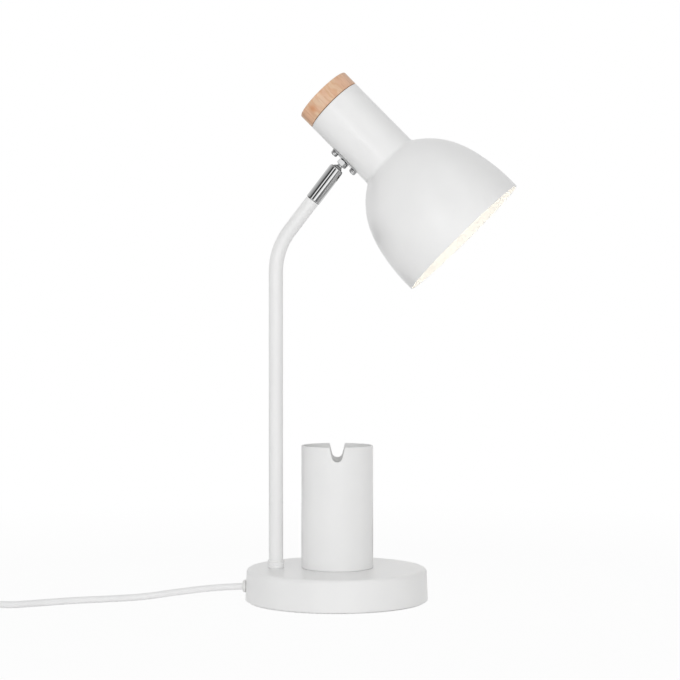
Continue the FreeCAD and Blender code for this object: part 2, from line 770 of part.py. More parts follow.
def ball_stud():
    """Ball and stud are one turning, bored through for the lead."""
    low = -math.sqrt(float(ball_radius) ** 2 - float(lead_radius) ** 2)
    high = math.sqrt(float(ball_radius) ** 2 - float(stud_radius) ** 2)
    outline = [(lead_radius, low), (ball_radius, 0, ball_radius), (stud_radius, high, ball_radius),
               (stud_radius, stud_length), (lead_radius, stud_length)]
    return turned("ball_stud", outline, STUD_FRAME)


def stud_nut():
    seat = stud_reach - bracket_face() - stud_nut_height - 0.05
    turn = FreeCAD.Rotation(V(0, 0, 1), stud_nut_turn)
    frame = STUD_FRAME * FreeCAD.Placement(V(0, 0, float(seat)), turn)
    return nut("stud_nut", stud_nut_flats, stud_nut_height, stud_radius, frame)


# ---------------------------------------------------------------- bracket

def bracket_face():
    return neck_radius + bracket_wall


def saddle(label, inner, outer, length, sweep):
    """A strip curved round the neck, centred on the stud."""
    low, high = stud_along - length / 2, stud_along + length / 2
    return turned(label, [(inner, low), (outer, low), (outer, high), (inner, high)], HEAD_FRAME, sweep)


def bracket_holes(screw, stud):
    half = bracket_spacing / 2
    return [(0, stud_along - half, screw), (0, stud_along + half, screw), (0, stud_along, stud)]


def corner_edges(edge):
    """The short radial edges at the corners of a saddle."""
    return isinstance(edge.Curve, Part.Line) and abs(edge.Curve.Direction.z) < 0.01


def bracket():
    """The plate outside the neck and the tapped strip inside it clamp the shade's wall."""
    plate = saddle("mount_plate", neck_radius + 0.02, bracket_face(), bracket_length, bracket_sweep)
    round_edges(plate, bracket_corner, corner_edges)
    inside = neck_radius - shade_wall
    strip = saddle("nut_strip", inside - strip_wall, inside, bracket_length, bracket_sweep - 3)
    for body, stud in ((plate, stud_radius + running_gap), (strip, stud_radius + 1.5)):
        cut(body, "holes", "YZ_Plane", neck_radius * 2, circles=bracket_holes(bracket_screw, stud), back=True)

    upright = FreeCAD.Rotation(V(0, 1, 0), 90)
    screws = []
    for number, (_, along, _) in enumerate(bracket_holes(bracket_screw, stud_radius)[:2], 1):
        frame = HEAD_FRAME * FreeCAD.Placement(V(float(bracket_face()), 0, float(along)), upright)
        screws.append(pan_screw(f"plate_screw_{number}", bracket_screw, plate_screw_head, plate_screw_rise,
                                bracket_wall + shade_wall + strip_wall + 0.4, frame))
    return group("plate_screws", screws)


# ---------------------------------------------------------------- shade and cap

def shade():
    """Neck and bell are one spinning, closed behind by a flat wall."""
    outline = [(0, neck_gap), (neck_radius, neck_gap), (neck_radius, neck_end),
               (flare_radius, flare_end, -flare_round), (shoulder_radius, shoulder_end, shoulder_round),
               (waist_radius, waist_end, waist_round), (rim_radius, rim_end, rim_round), (0, rim_end)]
    body = turned("shade", outline, HEAD_FRAME)
    hollow(body, shade_wall, float(rim_end))
    round_edges(body, neck_edge, ring_at(neck_gap, neck_radius))
    cut(body, "nipple_hole", "XY_Plane", shade_wall * 3, circles=[(0, 0, head_nipple + HOLE_PLAY)],
        offset=neck_gap - OVER, back=True)
    cut(body, "bracket_holes", "YZ_Plane", neck_radius * 2,
        circles=bracket_holes(bracket_screw, stud_radius + 0.3), back=True)
    return body


def wood_cap():
    """A turned disc that hides the nipple, held by the threaded insert pressed into its recess."""
    low, floor = -wood_height, -wood_floor
    outline = [(insert_radius, -insert_depth), (wood_recess, -insert_depth), (wood_recess, 0),
               (wood_radius - wood_edge, 0), (wood_radius, -wood_edge, -wood_edge),
               (wood_radius, low + wood_edge), (wood_radius - wood_edge, low, -wood_edge),
               (0, low), (0, floor), (insert_radius, floor)]
    turned("wood_cap", outline, HEAD_FRAME)
    foot, top = 0.5 - wood_floor, -insert_depth
    insert = [(head_nipple, foot), (insert_radius, foot), (insert_radius, top), (head_nipple, top)]
    turned("cap_insert", insert, HEAD_FRAME)


def holder_nipple():
    """The threaded tube that holds the cap, the shade's rear wall and the lampholder together."""
    low, high = 0.5 - wood_floor, head_nipple_top
    outline = [(head_nipple_bore, low), (head_nipple, low), (head_nipple, high), (head_nipple_bore, high)]
    turned("holder_nipple", outline, HEAD_FRAME)
    nuts = []
    for number, foot in enumerate((neck_gap + shade_wall, neck_gap - nipple_nut_height), 1):
        frame = HEAD_FRAME * FreeCAD.Placement(V(0, 0, float(foot)), FreeCAD.Rotation())
        nuts.append(nut(f"nipple_nut_{number}", nipple_nut_flats, nipple_nut_height, head_nipple, frame))
    return group("nipple_nuts", nuts)


# ---------------------------------------------------------------- lamp holder and lamp

def lampholder():
    """A moulded shell with a thread ring and a centre contact for an E27 lamp."""
    wall = holder_wall
    shoulder, throat = holder_foot + 11, holder_foot + 4
    floor = shoulder + 4
    bore = head_nipple + 0.05
    outline = [(bore, holder_foot), (holder_neck, holder_foot), (holder_neck, throat),
               (holder_radius, shoulder), (holder_radius, holder_end),
               (holder_bore, holder_end), (holder_bore, floor + wall),
               (contact_hole, floor + wall), (contact_hole, floor), (holder_radius - wall, floor),
               (holder_radius - wall, shoulder + 1), (holder_neck - 0.5, throat + 2), (bore, throat + 2)]
    turned("lampholder", outline, HEAD_FRAME)

    low, thread = floor + wall * 2, holder_bore - 0.55
    ring = [(thread, low), (holder_bore, low), (holder_bore, holder_end - wall), (thread, holder_end - wall)]
    turned("holder_thread", ring, HEAD_FRAME)
    base, leaf, tip = floor + wall, floor + wall + 0.8, lamp_foot
    contact = [(0, base), (4.5, base), (4.5, leaf), (2, leaf), (2, tip), (0, tip)]
    turned("holder_contact", contact, HEAD_FRAME)


def head_lead():
    """From the stud's bore along the neck to the back of the holder."""
    bore_end = float(stud_reach) - float(stud_length)
    points = [(bore_end + 4, 0, float(stud_along)), (bore_end - 3, 0, float(stud_along)),
              (bore_end - 3, 0, 17.5), (15.5, 0, 10.5), (float(holder_neck) + 0.7, 0, 10.5)]
    made = doc.addObject("Part::Feature", "head_lead")
    made.Shape = tube_along("head_lead", points, head_lead_radius)
    made.Placement = HEAD_FRAME
    return made


def lamp():
    """An LED lamp: contact, screw cap, plastic housing and opal globe."""
    shell = bulb_cap_radius - 0.5
    button, top = lamp_foot + 2.4, lamp_foot + 6.4
    turned("bulb_contact", [(0, lamp_foot), (4, lamp_foot), (6.5, button), (0, button)], HEAD_FRAME)
    cap = [(0, button), (6.5, button), (bulb_cap_radius, top), (bulb_cap_radius, lamp_cap_end),
           (shell, lamp_cap_end), (shell, top + 0.6), (0, top + 0.6)]
    turned("bulb_cap", cap, HEAD_FRAME)

    seat_at = globe_centre - math.sqrt(float(globe_radius) ** 2 - float(globe_seat) ** 2)
    spigot, collar, inside = shell - 0.05, bulb_cap_radius + 0.4, shell - 1.5
    low, step = lamp_cap_end - 12, lamp_cap_end + 2.5
    housing = [(spigot, low), (spigot, lamp_cap_end), (collar, lamp_cap_end), (collar, step),
               (globe_seat, seat_at),
               (globe_seat - globe_wall * 2, seat_at), (inside, lamp_cap_end), (inside, low)]
    turned("bulb_housing", housing, HEAD_FRAME)

    inner = globe_radius - globe_wall
    inner_seat = Size(math.sqrt(float(inner) ** 2 - float(globe_centre - seat_at) ** 2),
                      f"sqrt({inner.text}^2 - {(globe_centre - seat_at).text}^2)")
    globe = [(globe_seat, seat_at), (globe_radius, globe_centre, globe_radius),
             (0, globe_centre + globe_radius, globe_radius), (0, globe_centre + inner),
             (inner, globe_centre, -inner), (inner_seat, seat_at, -inner)]
    turned("bulb_globe", globe, HEAD_FRAME)


# ---------------------------------------------------------------- cord, switch and plug

CORD_AT = float(cord_height)
CORD_LOW = float(cord_radius)
SWITCH_MIDDLE = float(switch_half)
PLUG_MIDDLE = float(plug_depth) / 2
SWITCH_AT = V(-322, -60, 0)
COIL_AT = V(-392, -24.5, 0)
PLUG_AT = V(-360, 36, 0)
PLUG_TURN = 8.0
TIE_TURN = 205.0
ROCKER_TILT = 7.0

CORD_ROUTE = [
    (-68, 0, CORD_AT), (-84, 0, 11.0), (-106, 0.6, 9.4), (-132, 0.4, 6.2), (-158, -2, CORD_LOW),
    (-184, -12, CORD_LOW), (-212, -20, CORD_LOW), (-238, -34, CORD_LOW), (-262, -49, 3.2),
    (-283, -60, SWITCH_MIDDLE), (-300, -60, SWITCH_MIDDLE)]
COIL_LEAD = [
    (-344, -60, SWITCH_MIDDLE), (-360, -60, SWITCH_MIDDLE), (-377, -62.5, 5.4), (-393, -65, 3.5)]
PLUG_LEAD = [
    (-421.9, 2.1, 8.9), (-411, 14.5, 9.4), (-396, 26, 8.2), (-374.5, 33.96, PLUG_MIDDLE),
    (-356.05, 36.55, PLUG_MIDDLE)]


def cords():
    """The cord from the base to the switch and on to the coil, and the end that leaves it."""
    for label, routes in (("power_cord", (CORD_ROUTE, COIL_LEAD)), ("plug_lead", (PLUG_LEAD,))):
        made = doc.addObject("Part::Feature", label)
        made.Shape = Part.makeCompound([tube_along(label, route, cord_radius) for route in routes])


def cord_coil():
    """The outer shape of the wound turns."""
    frame = FreeCAD.Placement(COIL_AT, FreeCAD.Rotation())
    inner, outer = coil_radius - coil_half, coil_radius + coil_half
    low, high, corner = tie_wall, tie_wall + coil_height, coil_corner
    outline = [(inner + corner, low, corner), (outer - corner, low), (outer, low + corner, corner),
               (outer, high - corner), (outer - corner, high, corner), (inner + corner, high),
               (inner, high - corner, corner), (inner, low + corner)]
    return turned("cord_coil", outline, frame)


def coil_tie():
    """A flat strap round the turns at one place."""
    frame = FreeCAD.Placement(COIL_AT, FreeCAD.Rotation(V(0, 0, 1), TIE_TURN))
    outer, inner, top = coil_half + tie_wall, coil_half, coil_height + tie_wall * 2
    near, far = coil_radius - outer, coil_radius + outer
    band = [[(near, 0), (far, 0), (far, top), (near, top)],
            [(coil_radius - inner, tie_wall), (coil_radius + inner, tie_wall),
             (coil_radius + inner, top - tie_wall), (coil_radius - inner, top - tie_wall)]]
    return padded("coil_tie", tie_width, band, frame=frame, role="XZ_Plane", both=True)


def switch_shell(label, low, well, well_from):
    """Half of a bar that narrows to the cord at both ends, with a well for the rocker."""
    end, side = switch_length / 2, switch_width / 2
    narrow = end - switch_taper
    plan = [(end, -switch_tip), (end, switch_tip), (narrow, side), (-narrow, side),
            (-end, switch_tip), (-end, -switch_tip), (-narrow, -side), (narrow, -side)]
    frame = FreeCAD.Placement(SWITCH_AT, FreeCAD.Rotation())
    body = padded(label, switch_half, [plan], frame=frame, offset=low)
    outer = 0 if float(low) == 0 else float(low + switch_half)
    round_edges(body, switch_corner, lambda edge: edge.BoundBox.ZLength > 1, name="corners")
    round_edges(body, switch_edge,
                lambda edge: abs(edge.BoundBox.ZMin - outer) < 0.01 and edge.BoundBox.ZLength < 0.01)
    for name, start, back in (("near_bore", bore_stop, True), ("far_bore", -bore_stop, False)):
        cut(body, name, "YZ_Plane", switch_length, circles=[(0, switch_half, cord_radius + 0.05)],
            offset=start, back=back)
    half_length, half_width = rocker_length / 2 + 0.5, rocker_width / 2 + 0.3
    opening = [(-half_length, -half_width), (half_length, -half_width),
               (half_length, half_width), (-half_length, half_width)]
    cut(body, "well", "XY_Plane", well, [opening], offset=well_from, back=True)
    return body


def cord_switch():
    """Two shells and a rocker that tips on a pin moulded across it."""
    switch_shell("switch_lower", switch_floor, switch_half, switch_well_floor)
    upper = switch_shell("switch_upper", switch_half, switch_half * 2, switch_half - OVER)
    pin_height, reach = switch_half + rocker_rise, rocker_width + 4
    cut(upper, "pin_bore", "XZ_Plane", reach, circles=[(0, pin_height, rocker_pin + running_gap)], both=True)

    tilt = FreeCAD.Rotation(V(0, 1, 0), ROCKER_TILT)
    end, foot = rocker_length / 2, 2.2
    side = [(-end, rocker_shoulder), (-end + 1.2, -foot), (end - 1.2, -foot), (end, rocker_shoulder),
            (end, rocker_top), (0, rocker_dip), (-end, rocker_top)]
    rocker = padded("switch_rocker", rocker_width, [side], role="XZ_Plane", both=True,
                    frame=FreeCAD.Placement(SWITCH_AT + V(0, 0, float(pin_height)), tilt))
    pins = rocker.newObject("PartDesign::Pad", "switch_rocker_pins")
    pins.Profile = draw(rocker, "XZ_Plane", circles=[(0, 0, rocker_pin)], name="pin_outline")
    bind(pins, "Length", reach - 0.4)
    pins.SideType = "Symmetric"
    doc.recompute()


def plug():
    """Flat two-pin plug: local X points from the cord out along the pins."""
    frame = FreeCAD.Placement(PLUG_AT, FreeCAD.Rotation(V(0, 0, 1), PLUG_TURN))
    front = plug_length
    outline = [(0, -plug_neck), (plug_taper, -plug_half), (front, -plug_half), (front, plug_half),
               (plug_taper, plug_half), (0, plug_neck)]
    body = padded("plug_body", plug_depth, [outline], frame=frame)
    round_edges(body, plug_edge, lambda edge: edge.BoundBox.ZLength < 0.01)
    cut(body, "cord_bore", "YZ_Plane", plug_bore_depth, circles=[(0, plug_depth / 2, cord_radius + 0.05)],
        offset=-OVER, back=True)
    upright = FreeCAD.Rotation(V(0, 1, 0), 90)
    shape = [(0, 0), (pin_radius - 0.1, 0), (pin_radius, pin_sleeve), (pin_radius, pin_length - pin_tip),
             (pin_radius - 1, pin_length, pin_tip), (0, pin_length)]
    pins = []
    for number, side in enumerate((-pin_spacing / 2, pin_spacing / 2), 1):
        place = frame * FreeCAD.Placement(V(float(front), float(side), PLUG_MIDDLE), upright)
        pins.append(turned(f"plug_pin_{number}", shape, place))
    group("plug_pins", pins)


# ---------------------------------------------------------------- build, check and write

for make in (base_cover, base_weight, bottom_plate, foot_pad, bottom_screws, cord_bush,
             pen_cup, cup_fastening, stem_tube, stem_fastening, stem_lead, stem_collar,
             stem_spigot, pivot_screw, joint_sleeve, ball_spring, ball_stud, stud_nut,
             bracket, shade, wood_cap, holder_nipple, lampholder, head_lead, lamp,
             cords, cord_coil, coil_tie, cord_switch, plug):
    make()
doc.recompute()

failed = [item.Name for item in doc.Objects if {"Invalid", "Error"} & set(item.State)]
if failed:
    raise ValueError(f"failed objects: {failed}")

grouped = {piece.Name for item in doc.Objects if item.TypeId == "Part::Compound" for piece in item.Links}
kinds = ("PartDesign::Body", "Part::Compound", "Part::Feature")
nodes = [item for item in doc.Objects if item.TypeId in kinds and item.Name not in grouped]
for node in nodes:
    if node.Shape.isNull() or not node.Shape.isValid():
        raise ValueError(f"{node.Label} has no valid shape")

os.makedirs("parts", exist_ok=True)
for node in nodes:
    node.Shape.exportStep(f"parts/{node.Label}.step")
print(len(nodes), "nodes written")
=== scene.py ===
import json
import math

import bmesh
import bpy
from mathutils import Matrix, Vector


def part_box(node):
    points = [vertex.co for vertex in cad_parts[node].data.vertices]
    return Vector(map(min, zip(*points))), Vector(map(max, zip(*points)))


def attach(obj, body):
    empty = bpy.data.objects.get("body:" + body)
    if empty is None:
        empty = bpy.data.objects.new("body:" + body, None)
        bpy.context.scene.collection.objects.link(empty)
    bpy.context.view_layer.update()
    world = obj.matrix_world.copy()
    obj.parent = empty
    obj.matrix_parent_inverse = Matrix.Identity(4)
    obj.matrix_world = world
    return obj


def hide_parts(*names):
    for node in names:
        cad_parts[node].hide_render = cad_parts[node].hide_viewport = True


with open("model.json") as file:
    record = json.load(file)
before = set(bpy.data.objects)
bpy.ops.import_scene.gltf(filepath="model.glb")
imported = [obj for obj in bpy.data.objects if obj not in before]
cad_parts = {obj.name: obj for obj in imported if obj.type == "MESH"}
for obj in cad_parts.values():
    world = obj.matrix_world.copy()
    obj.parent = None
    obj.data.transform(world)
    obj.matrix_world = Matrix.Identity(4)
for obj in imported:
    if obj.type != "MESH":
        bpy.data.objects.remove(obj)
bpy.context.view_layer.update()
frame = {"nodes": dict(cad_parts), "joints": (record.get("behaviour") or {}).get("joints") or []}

# ---------------------------------------------------------------- base cover
# A lid deep-drawn from 1.2 mm steel with a slightly tapered side, powder coated in a satin white.
# The coat is a little thicker and glossier in some places, and ripples faintly like orange peel.


def new_finish(name):
    """A material with one shader, and the place of each point in metres on its piece."""
    material = bpy.data.materials.new(name)
    material.use_nodes = True
    tree = material.node_tree
    place = tree.nodes.new("ShaderNodeTexCoord").outputs["Object"]
    return material, tree, tree.nodes["Principled BSDF"], place


def noise(tree, place, scale, detail=2.0, stretch=None):
    """Cloudy values round one half; scale is in clouds per metre, stretch multiplies it by axis."""
    texture = tree.nodes.new("ShaderNodeTexNoise")
    texture.inputs["Scale"].default_value = scale
    texture.inputs["Detail"].default_value = detail
    if stretch:
        mapping = tree.nodes.new("ShaderNodeMapping")
        mapping.inputs["Scale"].default_value = stretch
        tree.links.new(place, mapping.inputs["Vector"])
        place = mapping.outputs["Vector"]
    tree.links.new(place, texture.inputs["Vector"])
    return texture.outputs["Fac"]


def reckon(tree, operation, *values):
    """One step of arithmetic. Each value is a number or another node's output."""
    step = tree.nodes.new("ShaderNodeMath")
    step.operation = operation
    for socket, value in zip(step.inputs, values):
        if isinstance(value, (int, float)):
            socket.default_value = value
        else:
            tree.links.new(value, socket)
    return step.outputs["Value"]


def reckon_vectors(tree, operation, *vectors):
    """The same for vectors. It returns the node, whose result is its Vector or its Value."""
    step = tree.nodes.new("ShaderNodeVectorMath")
    step.operation = operation
    for socket, vector in zip(step.inputs, vectors):
        if isinstance(vector, tuple):
            socket.default_value = vector
        else:
            tree.links.new(vector, socket)
    return step


def spread(tree, value, low, high, inner=(0.3, 0.7)):
    """Maps a value that runs over inner to one that runs from low to high."""
    ranged = tree.nodes.new("ShaderNodeMapRange")
    for socket, number in zip(("From Min", "From Max", "To Min", "To Max"), (*inner, low, high)):
        ranged.inputs[socket].default_value = number
    tree.links.new(value, ranged.inputs["Value"])
    return ranged.outputs["Result"]


def blend_colours(tree, value, first, second):
    """A colour between two, by a value from 0 to 1. Each end is a colour or another node's output."""
    mix = tree.nodes.new("ShaderNodeMix")
    mix.data_type = "RGBA"
    tree.links.new(value, mix.inputs["Factor"])
    first_socket, second_socket, mixed = mix.inputs[6], mix.inputs[7], mix.outputs[2]
    for socket, colour in ((first_socket, first), (second_socket, second)):
        if isinstance(colour, tuple):
            socket.default_value = (*colour, 1)
        else:
            tree.links.new(colour, socket)
    return mixed


def relief(tree, shader, heights, depth):
    """Small height differences in the surface, up to a depth in metres."""
    bump = tree.nodes.new("ShaderNodeBump")
    bump.inputs["Strength"].default_value = 1.0
    bump.inputs["Distance"].default_value = depth
    tree.links.new(heights, bump.inputs["Height"])
    tree.links.new(bump.outputs["Normal"], shader.inputs["Normal"])
    return bump


def round_off(tree, bump, radius):
    """Makes the edges of a piece catch the light as if they were rounded by that radius."""
    bevel = tree.nodes.new("ShaderNodeBevel")
    bevel.samples = 4
    bevel.inputs["Radius"].default_value = radius
    tree.links.new(bevel.outputs["Normal"], bump.inputs["Normal"])


def powder_coat():
    material, tree, shader, place = new_finish("white_powder_coat")
    clouds = noise(tree, place, 28, 3)
    colour = blend_colours(tree, spread(tree, clouds, 0, 1), (0.868, 0.868, 0.866), (0.892, 0.892, 0.888))
    tree.links.new(colour, shader.inputs["Base Color"])
    tree.links.new(spread(tree, clouds, 0.28, 0.34), shader.inputs["Roughness"])
    relief(tree, shader, noise(tree, place, 900, 3), 0.00002)
    return material


def dress(material, *nodes):
    """Gives nodes of the frame a finish."""
    for name in nodes:
        for held in frame["nodes"][name].material_slots:
            held.material = material


coat = powder_coat()
dress(coat, "base_cover")

# ---------------------------------------------------------------- weight, bottom plate and pad
# A cast-iron disc fills the lid. Three screws hold a zinc-plated plate to its feet, and a disc of
# white closed-cell foam is glued under the plate, so that the lamp doesn't mark or slide on a table.


def cast_iron():
    material, tree, shader, place = new_finish("cast_iron")
    grains = noise(tree, place, 700, 6)
    colour = blend_colours(tree, spread(tree, grains, 0, 1), (0.018, 0.018, 0.019), (0.06, 0.058, 0.056))
    tree.links.new(colour, shader.inputs["Base Color"])
    shader.inputs["Metallic"].default_value = 0.6
    shader.inputs["Roughness"].default_value = 0.7
    relief(tree, shader, grains, 0.0003)
    return material


def zinc_plate():
    material, tree, shader, place = new_finish("zinc_plate")
    streaks = noise(tree, place, 500, 4, (1, 0.08, 1))
    colour = blend_colours(tree, spread(tree, streaks, 0, 1), (0.46, 0.47, 0.49), (0.62, 0.63, 0.64))
    tree.links.new(colour, shader.inputs["Base Color"])
    tree.links.new(spread(tree, streaks, 0.24, 0.42), shader.inputs["Roughness"])
    shader.inputs["Metallic"].default_value = 1.0
    round_off(tree, relief(tree, shader, streaks, 0.00001), 0.0002)
    return material


def foam():
    material, tree, shader, place = new_finish("closed_cell_foam")
    cells = tree.nodes.new("ShaderNodeTexVoronoi")
    cells.inputs["Scale"].default_value = 1500
    tree.links.new(place, cells.inputs["Vector"])
    colour = blend_colours(tree, cells.outputs["Distance"], (0.90, 0.90, 0.89), (0.95, 0.95, 0.94))
    tree.links.new(colour, shader.inputs["Base Color"])
    shader.inputs["Roughness"].default_value = 0.92
    relief(tree, shader, cells.outputs["Distance"], 0.0002)
    return material


zinc = zinc_plate()
dress(cast_iron(), "base_weight")
dress(zinc, "bottom_plate", "bottom_screws")
dress(foam(), "foot_pad")

# ---------------------------------------------------------------- cord bush
# A moulded bush snaps into the hole in the lid's side. Only its collar shows; the long gripping
# sleeve that takes the pull off the wires is inside the base.


def moulded(name, dark, light, roughness, grain=0.00003):
    """Moulded plastic with a fine spark-eroded grain."""
    material, tree, shader, place = new_finish(name)
    clouds = noise(tree, place, 60, 3)
    colour = blend_colours(tree, spread(tree, clouds, 0, 1), dark, light)
    tree.links.new(colour, shader.inputs["Base Color"])
    tree.links.new(spread(tree, clouds, roughness - 0.04, roughness + 0.04), shader.inputs["Roughness"])
    round_off(tree, relief(tree, shader, noise(tree, place, 2600, 2), grain), 0.0003)
    return material


white_plastic = moulded("white_plastic", (0.80, 0.80, 0.79), (0.84, 0.84, 0.83), 0.42)
dress(white_plastic, "cord_bush")

# ---------------------------------------------------------------- pen cup
# A drawn steel cup, coated like the base, with a U-shaped notch in front and behind. A screw
# through its floor, a washer and a nut under the weight hold it to the base.

dress(coat, "pen_cup")
dress(zinc, "cup_screw", "cup_washer", "cup_nut")

# ---------------------------------------------------------------- stem
# A coated steel tube with one bend. A hollow nipple, a washer and a nut pull it down on the lid, and
# a collar turned with three beads hides the joint. The inner lead runs up through it.

dress(coat, "stem_tube", "stem_collar")
dress(zinc, "stem_nipple", "stem_washer", "stem_nut")

sheath = moulded("lead_sheath", (0.56, 0.55, 0.50), (0.62, 0.61, 0.56), 0.5)
dress(sheath, "stem_lead", "head_lead")

# ---------------------------------------------------------------- ball joint
# A chromed brass sleeve turns on a spigot in the stem's end. A coned spring and a nylon seat press
# the ball up into the sleeve's rolled mouth, and a slot in one side lets the stud fold further down.


def chrome_plate(name):
    material, tree, shader, place = new_finish(name)
    clouds = noise(tree, place, 220, 3)
    colour = blend_colours(tree, spread(tree, clouds, 0, 1), (0.545, 0.55, 0.555), (0.575, 0.575, 0.575))
    tree.links.new(colour, shader.inputs["Base Color"])
    tree.links.new(spread(tree, clouds, 0.035, 0.07), shader.inputs["Roughness"])
    shader.inputs["Metallic"].default_value = 1.0
    return material, tree, shader, place, colour


def in_frame(tree, place, matrix):
    """The same place, seen from another frame."""
    inverse = matrix.inverted()
    mapping = tree.nodes.new("ShaderNodeMapping")
    mapping.inputs["Rotation"].default_value = inverse.to_euler()
    mapping.inputs["Location"].default_value = inverse.translation
    tree.links.new(place, mapping.inputs["Vector"])
    return mapping.outputs["Vector"]


def length_of(tree, vector, weights):
    """Length of a vector whose parts are first multiplied by these weights."""
    weighted = reckon_vectors(tree, "MULTIPLY", vector, weights)
    return reckon_vectors(tree, "LENGTH", weighted.outputs["Vector"]).outputs["Value"]


def chrome_with_painted_shade(sleeve):
    """Chrome, truly round on the outer wall, with painted shade: dark on everything that lies deeper."""
    material, tree, shader, place, colour = chrome_plate("chrome_with_painted_shade")
    local, off_axis = in_frame(tree, place, sleeve), (1, 1, 0)
    radius = length_of(tree, local, off_axis)
    # painted shade: below these radii the chrome is coloured dark, as if in shade
    colour = blend_colours(tree, spread(tree, radius, 1, 0, painted_shade_radii), colour, (0.05, 0.045, 0.04))
    tree.links.new(colour, shader.inputs["Base Color"])

    outward = reckon_vectors(tree, "MULTIPLY", local, off_axis)
    back = tree.nodes.new("ShaderNodeMapping")
    back.vector_type = "NORMAL"
    back.inputs["Rotation"].default_value = sleeve.to_euler()
    tree.links.new(outward.outputs["Vector"], back.inputs["Vector"])
    turned = tree.nodes.new("ShaderNodeVectorTransform")
    turned.vector_type = "NORMAL"
    turned.convert_from, turned.convert_to = "OBJECT", "WORLD"
    tree.links.new(back.outputs["Vector"], turned.inputs["Vector"])
    chosen = tree.nodes.new("ShaderNodeMix")
    chosen.data_type = "VECTOR"
    inner_normal, outer_normal, normal = chosen.inputs[4], chosen.inputs[5], chosen.outputs[1]
    tree.links.new(spread(tree, radius, 0, 1, round_wall), chosen.inputs["Factor"])
    tree.links.new(tree.nodes.new("ShaderNodeNewGeometry").outputs["Normal"], inner_normal)
    tree.links.new(turned.outputs["Vector"], outer_normal)
    tree.links.new(normal, shader.inputs["Normal"])
    return material


def turned_brass():
    material, tree, shader, place = new_finish("turned_brass")
    marks = noise(tree, place, 1800, 2)
    colour = blend_colours(tree, spread(tree, marks, 0, 1), (0.60, 0.40, 0.14), (0.74, 0.54, 0.22))
    tree.links.new(colour, shader.inputs["Base Color"])
    shader.inputs["Metallic"].default_value = 1.0
    shader.inputs["Roughness"].default_value = 0.28
    relief(tree, shader, marks, 0.00001)
    return material


def joint(name):
    """Where a joint turns, and its axis."""
    found = next(item for item in frame["joints"] if item["name"] == name)
    return Vector(found["pos_m"]), Vector(found["axis"]).normalized()


pan_at, sleeve_axis = joint("sleeve_pan")
sleeve_frame = Matrix.Translation(pan_at) @ sleeve_axis.to_track_quat("Z", "Y").to_matrix().to_4x4()
# radii, from the sleeve's axis, between which painted shade fades to bright chrome, and then truly round
painted_shade_radii, round_wall = (0.0056, 0.0060), (0.00622, 0.00626)
chrome = chrome_plate("chrome_plate")[0]
brass = turned_brass()
nylon = moulded("nylon", (0.72, 0.70, 0.63), (0.78, 0.76, 0.69), 0.45)
dress(chrome_with_painted_shade(sleeve_frame), "joint_sleeve")
dress(chrome, "ball_stud", "stem_spigot")
dress(zinc, "pivot_screw", "seat_spring")
dress(nylon, "ball_seat")

# ---------------------------------------------------------------- bracket
# A chromed plate curved to the neck, with a tapped strip behind the shade's wall. Two pan-head
# screws clamp both to the shade, and a chamfered nut holds the stud in the middle.


def arc(x, z, radius, first, last, steps=6):
    """Points of an arc round (x, z), with its two ends given in degrees."""
    turns = (math.radians(first + (last - first) * i / steps) for i in range(steps + 1))
    return [(x + radius * math.cos(a), z + radius * math.sin(a)) for a in turns]


def skin(made, rings, closed=True):
    """Adds faces between rings of points, all with as many points, and returns their corners."""
    rows = [[made.verts.new(point) for point in ring] for ring in rings]
    count = len(rows[0])
    for low, high in zip(rows, rows[1:]):
        for i in range(count if closed else count - 1):
            j = (i + 1) % count
            made.faces.new((low[i], low[j], high[j], high[i]))
    return rows


def finished_mesh(name, made):
    """The mesh of these faces, turned outwards."""
    bmesh.ops.recalc_face_normals(made, faces=made.faces)
    mesh = bpy.data.meshes.new(name)
    made.to_mesh(mesh)
    made.free()
    return mesh


def ring_mesh(name, rings, caps=False):
    """One skin over closed rings of points, with both ends filled in if it has caps."""
    made = bmesh.new()
    rows = skin(made, rings)
    if caps:
        made.faces.new(list(reversed(rows[0])))
        made.faces.new(rows[-1])
    return finished_mesh(name, made)


def show(name, mesh, material, body, sharp=35):
    """Puts a mesh in the scene as a piece that rides on a body; sharp is its least crease in degrees."""
    mesh.shade_smooth()
    mesh.set_sharp_from_angle(angle=math.radians(sharp))
    piece = bpy.data.objects.new(name, mesh)
    bpy.context.scene.collection.objects.link(piece)
    piece.data.materials.append(material)
    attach(piece, body)
    return piece


def hex_nut(name, flats, height, bore, place, steps=96):
    """A nut whose corners are turned off at 30 degrees on both faces. Its skin runs round its section."""
    half, slope = height / 2, math.tan(math.radians(30))
    washer = flats / 2 * washer_share
    rings = [[], [], [], [], [], []]
    for i in range(steps):
        turn = 2 * math.pi * i / steps
        from_flat = (turn + math.pi / 6) % (math.pi / 3) - math.pi / 6
        corner = flats / 2 / math.cos(from_flat)
        edge = half - (corner - washer) * slope
        around = Vector((math.cos(turn), math.sin(turn), 0))
        lower = ((bore, -half), (washer, -half), (corner, -edge))
        upper = ((corner, edge), (washer, half), (bore, half))
        for ring, (radius, level) in zip(rings, lower + upper):
            ring.append(place @ (around * radius + Vector((0, 0, level))))
    return ring_mesh(name, rings + rings[:1])


def middle(node):
    low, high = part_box(node)
    return (low + high) / 2


_, stud_axis = joint("head_spin")
head_axis = (middle("holder_thread") - middle("cap_insert")).normalized()
across = -stud_axis
beside = head_axis.cross(across)
stud_frame = Matrix((head_axis, beside, stud_axis)).transposed().to_4x4()
nut_flats, nut_height, stud_radius = 0.008, 0.0042, 0.0025
nut_turn, washer_share = math.radians(22.3), 0.96
nut_place = Matrix.Translation(middle("stud_nut")) @ stud_frame @ Matrix.Rotation(nut_turn, 4, "Z")
nut_mesh = hex_nut("chamfered_nut", nut_flats, nut_height, stud_radius, nut_place)
stud_nut = show("chamfered_nut", nut_mesh, chrome, "stud", sharp=20)
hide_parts("stud_nut")
dress(chrome, "mount_plate", "plate_screws")
dress(zinc, "nut_strip")

